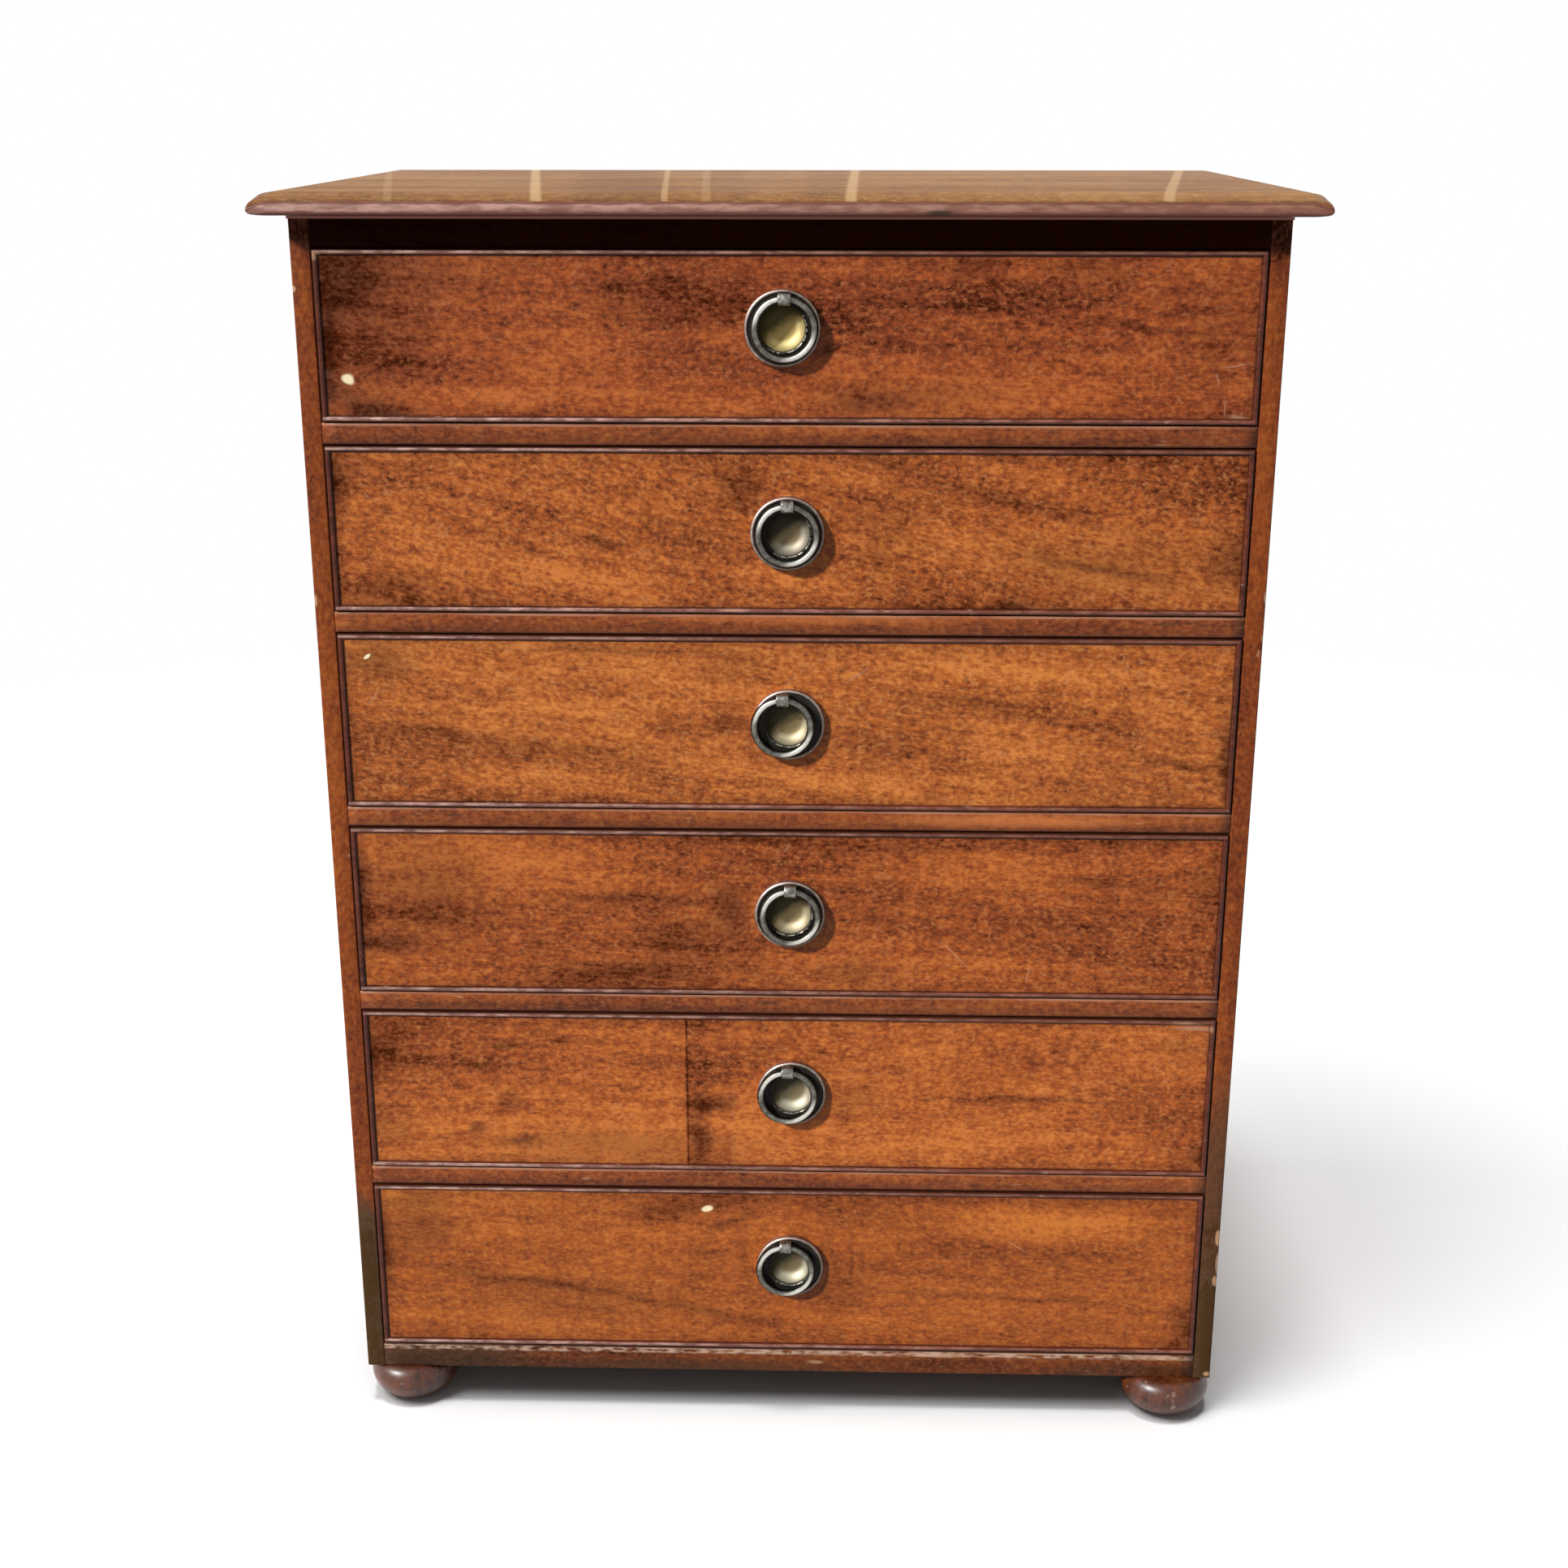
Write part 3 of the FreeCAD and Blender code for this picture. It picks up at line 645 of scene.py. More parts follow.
def divider_finish():
    """Quiet brown, paler along the upper arris of each of the five rails, with painted shade low on each
    rail and along the gap below it.
    """
    wood, colour, tone = rail_finish("divider_mahogany", 52.6, (0.58, 0.47, 0.42), 0.03, 0.95, 0.4)
    level = wood.parts(wood.place)[2]
    patchy = wood.share(wood.noise(wood.place, (16, 120, 120), 4.0), 0.34, 0.62)
    patchy = wood.between(patchy, 0.25, 0.85)
    for number in drawers[:-1]:
        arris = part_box("drawer_%d_front" % number)[0].z - divider_arris_height / 2
        off = wood.off(level, arris)
        band = wood.share(off, divider_arris_height * 0.75, divider_arris_height * 0.3)
        colour = wood.laid(colour, divider_arris, band, patchy)
        # Painted shade: darker in the lower half of each rail, nearly black along the gap at its foot.
        for start, full, depth in ((4.5, 9.0, 0.30), (11.0, 12.2, 0.75)):
            within = wood.share(off, divider_height + 2 * mm, divider_height + 1 * mm)
            lower = wood.times(wood.share(off, start * mm, full * mm), within)
            colour = wood.laid(colour, gap_shade, lower, depth)
    glow = ((150, 446, 230, 13, 0.55), (20, 580, 300, 8, 0.3))
    colour = with_patches(wood, colour, glow, glowing_wood)
    return polish(wood, colour, tone, 0.35, 0.5, 0.28)


# The frieze lies in the shade of the top board's overhang, and its finish is painted nearly black and dull
# with that shade.
wood, colour, tone = rail_finish("frieze_painted_shade", 47.1, (0.10, 0.07, 0.07), -0.1, 0.35, 0.0)
rail_finishes = {
    "frieze_rail": polish(wood, colour, tone, 0.5, 0.7, 0.02),
    "divider_rails": divider_finish(),
    "bottom_rail": bottom_rail_finish(),
}
print("rails finished:", sorted(rail_finishes))

# %% [markdown]
# ## Eased and worn arrises
# Nobody leaves a sharp corner on furniture: each front arris is eased with a plane, and two centuries of
# hands do the rest. The CAD boards have dead sharp corners, so each is copied, its loose triangles are
# merged into clean faces, its front arrises are bevelled, and the bevel is pushed in here and there.

# %% Making pieces
merge_distance = 0.002 * mm
flat_angle = math.radians(1)
smooth_angle = math.radians(42)


def new_piece(mesh, name, body, slot, finish, *nodes):
    """Closes a bmesh into a piece that rides a body and stands for CAD nodes."""
    bmesh.ops.remove_doubles(mesh, verts=mesh.verts, dist=merge_distance)
    bmesh.ops.recalc_face_normals(mesh, faces=mesh.faces)
    data = bpy.data.meshes.new(name)
    mesh.to_mesh(data)
    mesh.free()
    data.shade_smooth()
    data.set_sharp_from_angle(angle=smooth_angle)
    data.materials.append(finish)
    piece = bpy.data.objects.new(name, data)
    bpy.context.scene.collection.objects.link(piece)
    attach(piece, body)
    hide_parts(*nodes)
    return piece


def box(mesh, low, high):
    """A block between two corners."""
    verts = bmesh.ops.create_cube(mesh, size=1.0)["verts"]
    bmesh.ops.scale(mesh, vec=high - low, verts=verts)
    bmesh.ops.translate(mesh, vec=(low + high) / 2, verts=verts)
    return verts


def round_over(mesh, edges, radius, segments):
    bmesh.ops.bevel(
        mesh, geom=edges, offset=radius, segments=segments, profile=0.5, affect="EDGES", material=-1
    )


def cut(mesh, place, normal, **options):
    """Cuts the whole mesh with a plane."""
    geometry = mesh.verts[:] + mesh.edges[:] + mesh.faces[:]
    return bmesh.ops.bisect_plane(
        mesh, geom=geometry, plane_co=place, plane_no=normal, dist=merge_distance, **options
    )


def cut_across(mesh, axis, low, high, spacing):
    """Cuts loops across a board, so that its arrises can be worn unevenly along their length."""
    count = int((high - low) / spacing)
    for number in range(1, count):
        place, normal = Vector((0, 0, 0)), Vector((0, 0, 0))
        place[axis] = low + (high - low) * number / count
        normal[axis] = 1
        cut(mesh, place, normal)


def chosen_edges(mesh, test):
    """The edges that pass a test on both of their ends."""
    return [edge for edge in mesh.edges if all(test(vert.co) for vert in edge.verts)]


def front_arrises(mesh, front, along):
    """The edges in the plane y = front that run along a way."""
    arrises = []
    for edge in chosen_edges(mesh, lambda co: abs(co.y - front) < merge_distance):
        one, other = [vert.co for vert in edge.verts]
        if abs((one - other).normalized().dot(along)) > 0.99:
            arrises.append(edge)
    return arrises


# %% [markdown]
# A board is eased before it is cut across, so that the bevel runs through from end to end. The noise
# that wears it is read at each point's own place, so the script gives the same wear each time.

# %% Ease and wear the case boards
wear_cells = 60.0
loop_spacing = 14 * mm
side_ease, rail_ease = 1.1 * mm, 0.9 * mm
wear_depth = 0.25 * mm


def eased_board(node, slot, finish, axis, ease):
    """A board with its long front arrises eased and worn; axis is the way that it runs."""
    mesh = bmesh.new()
    mesh.from_mesh(frame["nodes"][node].data)
    bmesh.ops.remove_doubles(mesh, verts=mesh.verts, dist=merge_distance)
    bmesh.ops.dissolve_limit(mesh, angle_limit=flat_angle, verts=mesh.verts, edges=mesh.edges)
    low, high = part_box(node)
    along = Vector((0, 0, 0))
    along[axis] = 1
    round_over(mesh, front_arrises(mesh, low.y, along), ease, 3)
    cut_across(mesh, axis, low[axis], high[axis], loop_spacing)
    for vert in mesh.verts:
        if vert.co.y < low.y + ease * 0.6:
            vert.co.y += wear_depth * max(0.0, noise.noise(vert.co * wear_cells))
    body = frame["nodes"][node]["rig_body"]
    return new_piece(mesh, node + "_eased", body, slot, finish, node)


side_wood = side_finish()
for node in ("side_left", "side_right"):
    piece = eased_board(node, "side_mahogany", side_wood, 2, side_ease)
for node, finish in rail_finishes.items():
    eased_board(node, "rail_mahogany", finish, 0, rail_ease)
print("faces in a side:", len(piece.data.polygons))

# %% [markdown]
# ## The top board
# The front edge of the top is a worn thumb moulding: a nearly square arris below, a round above it, and
# then a shallow slope up to the flat. Its finish follows the moulding, so both read the same levels.
# The flat has faded to straw and the nosing is still red. The nosing has a painted highlight along its
# round, painted shade at its foot and in its crease, and a bed painted brighter than its shade; pale
# lines of painted reflection run from front to back over the flat.

# %% Levels and finish of the top board
bed_height = 2.7 * mm
nosing_block = 11.1 * mm
end_reach = 12.5 * mm
end_drop = 3.4 * mm
top_low, top_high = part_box("top_board")
under_level = top_low.z + bed_height
block_level = top_low.z + nosing_block
crest_level = block_level + 0.4 * mm
nosing_colour = (0.165, 0.056, 0.040, 1)
nosing_lit_left, nosing_lit_right = (0.46, 0.265, 0.220, 1), (0.27, 0.128, 0.082, 1)
foot_colour = (0.075, 0.020, 0.012, 1)
arris_colour = (0.13, 0.042, 0.024, 1)
bed_lifted_colour = (0.62, 0.27, 0.20, 1)
reflection_colour = (0.66, 0.43, 0.22, 1)
# Darker zones and pale lines of painted reflection: x at the middle of the depth and half width in mm, lean,
# strength
top_shades = ((-118, 34, -0.10, 0.26), (-46, 16, -0.05, 0.18), (22, 14, 0.0, 0.16), (262, 40, 0.16, 0.12))
top_reflection_lines = (
    (-175.4, 3.6, -0.139, 0.50), (-86.6, 2.2, -0.074, 0.36), (-59.4, 3.0, -0.060, 0.16),
    (40.0, 3.6, 0.011, 0.46), (256.1, 3.6, 0.164, 0.40), (-275.7, 2.6, -0.202, 0.16),
)


def nosing_finish(wood, x, z, ragged_z):
    """The colour of the moulding: a painted highlight along its crest, painted shade along its foot, and the
    bed below painted brighter to lift its shade.
    """
    mottled = wood.noise(wood.place, (70, 70, 260), 4.0)
    edge = wood.mix(wood.between(mottled, 0.6, 1.0), foot_colour, nosing_colour)
    # Painted highlight along the crest of the round, brightest at the left.
    lit = wood.mix(wood.share(x, top_high.x, top_low.x), nosing_lit_right, nosing_lit_left)
    shine = wood.share(ragged_z, under_level + 1.4 * mm, under_level + 3.6 * mm)
    shine = wood.times(shine, wood.between(wood.share(mottled, 0.35, 0.65), 0.35, 1.0))
    edge = wood.mix(shine, edge, lit)
    # Painted shade along the foot of the moulding.
    foot_shade = wood.share(z, under_level + 1.6 * mm, under_level + 0.4 * mm)
    leftwards = wood.between(wood.share(x, -200 * mm, -290 * mm), 0.15, 0.8)
    edge = wood.laid(edge, foot_colour, foot_shade, leftwards)
    # The bed strip is painted brighter than its wood, to lift the shade that it lies in.
    return wood.mix(wood.share(z, under_level, under_level - 0.4 * mm), edge, bed_lifted_colour)


def top_finish():
    """Faded straw brown on top with pale lines of painted reflection, red-brown round the edge, a painted
    highlight along the nosing and painted shade in its crease.
    """
    layers = dict(mahogany_layers, fleck=(260, 420, 2.0, 0.4))
    wood, colour, tone = mahogany(
        "top_mahogany", "X", 63.2, (0.80, 1.42, 2.35), lift=-0.02, calm=0.5, layers=layers
    )
    x, y, z = wood.parts(wood.place)
    at_end = wood.share(wood.sum("ABSOLUTE", x), top_high.x - end_reach, top_high.x)
    z = wood.plus(at_end, end_drop, z)
    # Darker zones, and pale lines of painted reflection.
    for lines, line_colour in ((top_shades, foot_colour), (top_reflection_lines, reflection_colour)):
        for middle, width, lean, strength in lines:
            band = wood.band(wood.plus(y, -lean, x), middle * mm, width * mm)
            colour = wood.laid(colour, line_colour, band, strength)
    above = wood.share(z, crest_level - 0.8 * mm, crest_level - 0.2 * mm)
    ragged = wood.sum("SUBTRACT", wood.noise(wood.place, (90, 90, 400), 3.0), 0.5)
    ragged_z = wood.plus(ragged, 2.4 * mm, z)
    colour = wood.laid(colour, arris_colour, at_end, 0.6)
    colour = wood.mix(above, nosing_finish(wood, x, z, ragged_z), colour)
    # Painted shade along the crease between the round and the slope.
    arris = wood.band(ragged_z, crest_level - 1.2 * mm, 1.1 * mm)
    colour = wood.laid(colour, arris_colour, arris, 0.8)
    dents = ((89, 829, 26, 6, 0.9), (-150, 831, 60, 3, 0.3))
    colour = with_patches(wood, colour, dents, case_dirt)
    polish(wood, colour, tone, 0.30, 0.42, 0.05)
    wood.surface(Specular_IOR_Level=wood.between(above, 0.22, 0.008))
    return wood.material


# %% [markdown]
# The board itself is a block, and a lid that is extruded upwards and drawn back at the front makes the
# slope; bevels make the rounds. The ends are only rounded over and the back is square. Below it a thin
# bed as large as the case lifts the overhang off the sides.

# %% Shape of the top board
bed_proud = 3.0 * mm
nosing_ramp = 22.8 * mm
nosing_lower = 2.0 * mm
nosing_upper = 5.0 * mm
end_fullness = (0.50, 0.34)
end_level = under_level + 3.3 * mm


def round_ends(mesh):
    """Draws the cross-section in towards one level near both ends, more and more steeply."""
    inner = top_high.x - end_reach
    cut_across(mesh, 0, inner, top_high.x, 0.9 * mm)
    cut_across(mesh, 0, -top_high.x, -inner, 0.9 * mm)
    slow, late = end_fullness
    for vert in mesh.verts:
        share = (abs(vert.co.x) - inner) / end_reach
        if share > 0:
            shrink = math.sqrt(1 - slow * share ** 2 - late * share ** 12)
            vert.co.z = end_level + (vert.co.z - end_level) * shrink


def top_board():
    """A block, a lid raised on it and drawn back at the front, the rounds, and the bed below."""
    mesh = bmesh.new()
    box(mesh, Vector((top_low.x, top_low.y, under_level)), Vector((top_high.x, top_high.y, block_level)))
    lid = [face for face in mesh.faces if face.normal.z > 0.9]
    table = bmesh.ops.extrude_face_region(mesh, geom=lid)["geom"]
    bmesh.ops.delete(mesh, geom=lid, context="FACES_ONLY")
    for vert in table:
        if isinstance(vert, bmesh.types.BMVert):
            vert.co.z = top_high.z
            if vert.co.y < 0:
                vert.co.y += nosing_ramp
    bmesh.ops.dissolve_limit(mesh, angle_limit=flat_angle, verts=mesh.verts, edges=mesh.edges)
    front, back = top_low.y + merge_distance, top_high.y - merge_distance
    crest = chosen_edges(mesh, lambda co: co.y < front and abs(co.z - block_level) < merge_distance)
    round_over(mesh, crest, nosing_upper, 7)
    under = chosen_edges(mesh, lambda co: abs(co.z - under_level) < merge_distance)
    under = [edge for edge in under if min(vert.co.y for vert in edge.verts) < back]
    round_over(mesh, under, nosing_lower, 3)
    round_ends(mesh)
    bed_low = Vector((side_low.x, case_front - bed_proud, top_low.z))
    box(mesh, bed_low, Vector((-side_low.x, top_high.y, under_level + nosing_lower)))
    cut_across(mesh, 0, top_low.x, top_high.x, 24 * mm)
    return new_piece(mesh, "top_board_moulded", "carcase", "top_mahogany", top_finish(), "top_board")


top_board()
print("top board:", [round(size / mm, 1) for size in top_high - top_low], "mm")

# %% [markdown]
# ## Cockbeads
# A cockbead is a thin strip let into the edge of a drawer front. It stands a little proud, its nose is
# rounded, and the four strips meet in mitres. The upper side of the level strips gets a painted
# highlight, and the gap round the drawer gets painted shade, nearly black.

# %% Finish of the beads
bead_lit_left, bead_lit_right = (0.60, 0.37, 0.31, 1), (0.27, 0.105, 0.070, 1)
bead_speck = (0.50, 0.34, 0.28, 1)
bead_highlight_strength = {1: 1.0, 2: 0.95, 3: 0.7, 4: 0.7, 5: 0.7, 6: 0.8}
bead_layers = {"figure": (6, 60, 3.0, 0.9), "streak": (30, 300, 3.0, 0.6), "fleck": (260, 420, 2.0, 0.5)}
bead_chips = ((268, 301, 50, 12, 0.9), (-286, 803, 14, 8, 0.6))


def bead_finish(number):
    """Dark purple-brown, with a painted highlight along the upper side of the level strips, strongest at the
    left, and painted shade in the gap round the drawer.
    """
    low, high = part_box("drawer_%d_cockbeads" % number)
    name = "drawer_%d_bead_mahogany" % number
    wood, colour, tone = mahogany(name, "X", 71.5 + number, (0.25, 0.15, 0.19), 0.0, -0.02, 0.9, bead_layers)
    x, y, z = wood.parts(wood.place)
    levels = (low.z + bead_width * 0.62, high.z - bead_width * 0.42)
    lines = [wood.band(z, level, bead_width * 0.30) for level in levels]
    patchy = wood.share(wood.noise(wood.place, (75, 200, 200), 5.0, 0.65), 0.40, 0.64)
    # Painted highlight along the upper side of the level strips, strongest at the left.
    lit = wood.times(wood.sum("MAXIMUM", *lines), wood.between(patchy, 0.25, 1.0))
    light = wood.mix(wood.share(x, high.x * 0.6, low.x), bead_lit_right, bead_lit_left)
    colour = wood.laid(colour, light, lit, bead_highlight_strength[number])
    colour = with_patches(wood, colour, bead_chips, pale_wood, 0.1, 0.6)
    colour = speckled(wood, colour, bead_speck, (90, 300, 300), 0.64, 0.74, 0.5)
    # Painted shade, nearly black, in the gap round the drawer.
    gap = edge_share(wood, (low.x, high.x), (low.z, high.z), 0.9 * mm, 0.0)
    colour = wood.laid(colour, gap_shade, gap, 0.85)
    wood.surface(Coat_Weight=0.2, Coat_Roughness=0.22)
    return polish(wood, colour, tone, 0.30, 0.46, 0.2)


# %% [markdown]
# Each strip starts as a block, two bevels make its nose, and two slanting cuts make its mitres. Old
# beads aren't straight, so the nose wanders a little.

# %% Shape of the beads
bead_proud = 1.8 * mm
bead_rebate = 5.0 * mm
bead_nose = 1.7 * mm
bead_wander = 0.16 * mm
mitre_gap = 0.05 * mm
bead_loops = 13 * mm


def bead_strip(mesh, start, end, inward):
    """One strip along the edge from start to end, cut to a mitre at both ends."""
    strip = bmesh.new()
    bmesh.ops.create_cube(strip, size=1.0)
    along = (end - start).normalized()
    outward = Vector((0, -1, 0))
    size = (end - start, outward * (bead_rebate + bead_proud), inward * bead_width)
    middle = (start + end) / 2 + inward * bead_width / 2 - outward * (bead_rebate - bead_proud) / 2
    place = Matrix.Translation(middle) @ Matrix(size).transposed().to_4x4()
    bmesh.ops.transform(strip, matrix=place, verts=strip.verts)
    round_over(strip, front_arrises(strip, start.y - bead_proud, along), bead_nose, 5)
    for corner, way in ((start, -along), (end, along)):
        mitre = cut(strip, corner - way * mitre_gap, (way + inward).normalized(), clear_outer=True)
        rim = [item for item in mitre["geom_cut"] if isinstance(item, bmesh.types.BMEdge)]
        bmesh.ops.contextual_create(strip, geom=rim)
    axis = 0 if abs(along.x) > 0.5 else 2
    cut_across(strip, axis, min(start[axis], end[axis]), max(start[axis], end[axis]), bead_loops)
    for vert in strip.verts:
        if vert.co.y < start.y + merge_distance:
            vert.co.y += bead_wander * noise.noise(vert.co * 45)
            vert.co.z += bead_wander * noise.noise(vert.co * 30 + Vector((7, 7, 7)))
    bmesh.ops.recalc_face_normals(strip, faces=strip.faces)
    data = bpy.data.meshes.new("strip")
    strip.to_mesh(data)
    strip.free()
    mesh.from_mesh(data)
    bpy.data.meshes.remove(data)


def cockbeads(number, finish):
    node = "drawer_%d_cockbeads" % number
    low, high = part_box(node)
    corners = [Vector((x, case_front, z)) for x, z in (
        (low.x, low.z), (high.x, low.z), (high.x, high.z), (low.x, high.z),
    )]
    inwards = [Vector((0, 0, 1)), Vector((-1, 0, 0)), Vector((0, 0, -1)), Vector((1, 0, 0))]
    mesh = bmesh.new()
    for side, inward in enumerate(inwards):
        bead_strip(mesh, corners[side], corners[(side + 1) % 4], inward)
    name = "drawer_%d_beads" % number
    return new_piece(mesh, name, "drawer_%d" % number, "bead_mahogany", finish, node)


for number in drawers:
    piece = cockbeads(number, bead_finish(number))
print("faces in the last set of beads:", len(piece.data.polygons))

# %% [markdown]
# ## Turned feet
# The squat bun feet come off a lathe. Blender's spin is a lathe too: a profile of points is turned
# about an upright line through the foot. The profile is two quarter ovals, a large one from the
# floor up to the widest place and a small one from there to the case.

# %% Feet
foot_flat_share = 0.40
foot_wide_share = 0.607
foot_neck_share = 0.72
foot_arc_steps = 9
foot_turn_steps = 56
foot_layers = {"figure": (9, 60, 3.0, 0.9), "streak": (30, 260, 3.0, 0.5), "fleck": (200, 260, 3.0, 0.8)}
foot_speck = (0.46, 0.33, 0.27, 1)


def lathe(mesh, profile, middle, axis, steps):
    """Turns a line of points about an axis through middle."""
    verts = [mesh.verts.new(point) for point in profile]
    edges = [mesh.edges.new(pair) for pair in zip(verts, verts[1:])]
    bmesh.ops.spin(
        mesh, geom=verts + edges, cent=middle, axis=axis, angle=2 * math.pi, steps=steps, use_merge=True
    )


def foot_finish():
    """Dark glossy red-brown, with pale specks."""
    wood, colour, tone = mahogany(
        "foot_mahogany", "Z", 83.9, (0.21, 0.16, 0.125), lift=-0.02, layers=foot_layers
    )
    colour = speckled(wood, colour, foot_speck, (120, 120, 120), 0.63, 0.73, 0.6)
    wood.surface(Coat_Weight=0.9, Coat_Roughness=0.38)
    return polish(wood, colour, tone, 0.30, 0.45, 0.15, 0.08 * mm)


def foot(node, finish):
    low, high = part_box(node)
    middle = Vector(((low.x + high.x) / 2, (low.y + high.y) / 2, 0))
    radius = (high.x - low.x) / 2
    height = side_low.z
    wide = foot_wide_share * height
    upper_steps = foot_arc_steps // 2
    points = [(0, 0)]
    for step in range(foot_arc_steps + 1):
        angle = math.pi / 2 * step / foot_arc_steps
        reach = foot_flat_share + (1 - foot_flat_share) * math.sin(angle)
        points.append((radius * reach, wide * (1 - math.cos(angle))))
    for step in range(1, upper_steps + 1):
        angle = math.pi / 2 * step / upper_steps
        reach = 1 - (1 - foot_neck_share) * (1 - math.cos(angle))
        points.append((radius * reach, wide + (height - wide) * math.sin(angle)))
    points.append((0, height))
    mesh = bmesh.new()
    profile = [middle + Vector((across, 0, up)) for across, up in points]
    lathe(mesh, profile, middle, (0, 0, 1), foot_turn_steps)
    return new_piece(mesh, node + "_turned", "carcase", "foot_mahogany", finish, node)


foot_wood = foot_finish()
for node in frame["nodes"]:
    if node.startswith("foot_"):
        piece = foot(node, foot_wood)
print("faces in a foot:", len(piece.data.polygons))

# %% [markdown]
# ## Ring pulls
# Each pull is a pressed brass plate with a raised rim and a sunk bowl for the fingertip, and a ring
# that hangs from an eye in front of it. The brass is brown with age. Painted highlights lie on the side
# of the rim toward the light, in the lower side of the bowl and on the bar of the ring, and painted
# shade on the far side of the rim, in the upper side of the bowl, in the channel and at the sides of the
# bar.

# %% Old brass
ring_tones = ((0.048, 0.045, 0.036), (0.118, 0.113, 0.096), (0.24, 0.23, 0.20))
rim_tones = ((0.11, 0.088, 0.073), (0.24, 0.19, 0.16), (0.42, 0.345, 0.30))
eye_tones = ((0.060, 0.056, 0.048), (0.165, 0.158, 0.140), (0.47, 0.46, 0.43))
black_patina_and_shade = (0.012, 0.011, 0.009, 1)
light_side = (-0.64, 0.0, 0.77)


def bronze(name, tones, low, high):
    """Patinated brass: cloudy brown-green over the metal, brighter in places."""
    metal = Finish(name)
    cloud = metal.noise(metal.place, (260, 260, 260), 5.0, 0.65)
    spots = metal.noise(metal.place, (900, 900, 900))
    tone = metal.plus(spots, 0.35, metal.plus(cloud, 1.1, -0.22))
    colour = metal.ramp(tone, tuple(zip((0.25, 0.5, 0.8), tones)))
    rough = metal.between(cloud, high, low)
    metal.surface(Base_Color=colour, Metallic=1.0, Roughness=rough)
    metal.bump(spots, 0.05 * mm)
    return metal, colour, tone


def round_places(metal, middle, radius):
    """Places from the middle of a round piece in units of its radius, and how far to the light."""
    flat = metal.turned(metal.place, middle, size=(radius, 1.0, radius))
    return flat, metal.vector("DOT_PRODUCT", flat, light_side, out="Value")


eye_bronze = bronze("eye_bronze", eye_tones, 0.34, 0.46)[0].material
post_bronze = bronze("post_bronze", ring_tones, 0.38, 0.50)[0].material

# %% Finish of the plates
pull_bowl_radius = 14.2 * mm
pull_reach = 25.0 * mm
rim_lit = (0.62, 0.49, 0.43, 1)
rim_shaded = (0.060, 0.045, 0.036, 1)
lip_highlight = (0.34, 0.31, 0.25, 1)
bowl_painted_shade = (0.035, 0.031, 0.020, 1)
bowl_floor = (0.20, 0.155, 0.085, 1)
bowl_painted_highlight = (0.50, 0.445, 0.315, 1)
rim_rough, bowl_rough = (0.40, 0.40, 0.40, 1), (0.62, 0.62, 0.62, 1)
plain_tint = (1.0, 0.98, 0.92, 1)
bowl_tints = {
    1: (1.26, 1.19, 0.80, 1), 2: (0.74, 0.74, 0.80, 1), 5: (0.95, 0.98, 1.05, 1), 6: (0.92, 0.95, 1.0, 1),
}


def plate_finish(number, middle):
    """A rim with a painted highlight toward the light and painted shade away from it, a channel black with
    old polish and painted shade, and a bowl painted dark at its upper left with a painted highlight low on
    its right.
    """
    metal, colour, tone = bronze("pull_%d_plate_bronze" % number, rim_tones, 0.34, 0.50)
    flat, toward = round_places(metal, middle, pull_reach)
    inward = metal.ball(flat)
    channel = metal.share(inward, 0.145, 0.165)
    bowl = metal.share(inward, 0.435, 0.475)
    wall = metal.share(inward, 0.72, 0.56)
    x, y, z = metal.parts(flat)
    # Painted light in the bowl: shade toward the upper left, a painted highlight on the lower right wall.
    toward_lower_right = metal.sum("SUBTRACT", metal.times(x, 0.7), z)
    toward_lower_right = metal.plus(tone, 0.20, toward_lower_right)
    worn = metal.mix(metal.share(toward_lower_right, 0.22, -0.14), bowl_floor, bowl_painted_shade)
    worn = metal.laid(worn, bowl_painted_highlight, wall, metal.share(toward_lower_right, 0.04, 0.34))
    worn = metal.mix(1.0, worn, bowl_tints.get(number, plain_tint), "MULTIPLY")
    # Painted highlight on the rim's side toward the light, painted shade on its far side.
    colour = metal.laid(colour, rim_lit, metal.share(toward, 0.35, 0.95), metal.between(tone, 0.4, 1.1))
    colour = metal.laid(colour, rim_shaded, metal.share(toward, 0.1, -0.7), 0.7)
    colour = metal.mix(metal.between(channel, 0.0, 0.96), colour, black_patina_and_shade)
    # Painted highlight on the lip's lower right, where its wall faces the light.
    lip = metal.times(metal.band(inward, 0.405, 0.028), metal.share(toward, 0.1, -0.35))
    dots = metal.noise(metal.place, (520, 520, 520), 1.0)
    lip = metal.times(lip, metal.share(dots, 0.42, 0.56))
    colour = metal.mix(lip, colour, lip_highlight)
    black = metal.times(channel, metal.between(metal.sum("MAXIMUM", bowl, lip), 1.0, 0.0))
    metal.surface(
        Base_Color=metal.mix(bowl, colour, worn), Metallic=metal.between(black, 1.0, 0.05),
        Roughness=metal.mix(bowl, rim_rough, bowl_rough), Specular_IOR_Level=0.1,
    )
    return metal.material


# %% Finish of the rings
ring_radius = 18.1 * mm
ring_lit = (0.66, 0.64, 0.58, 1)


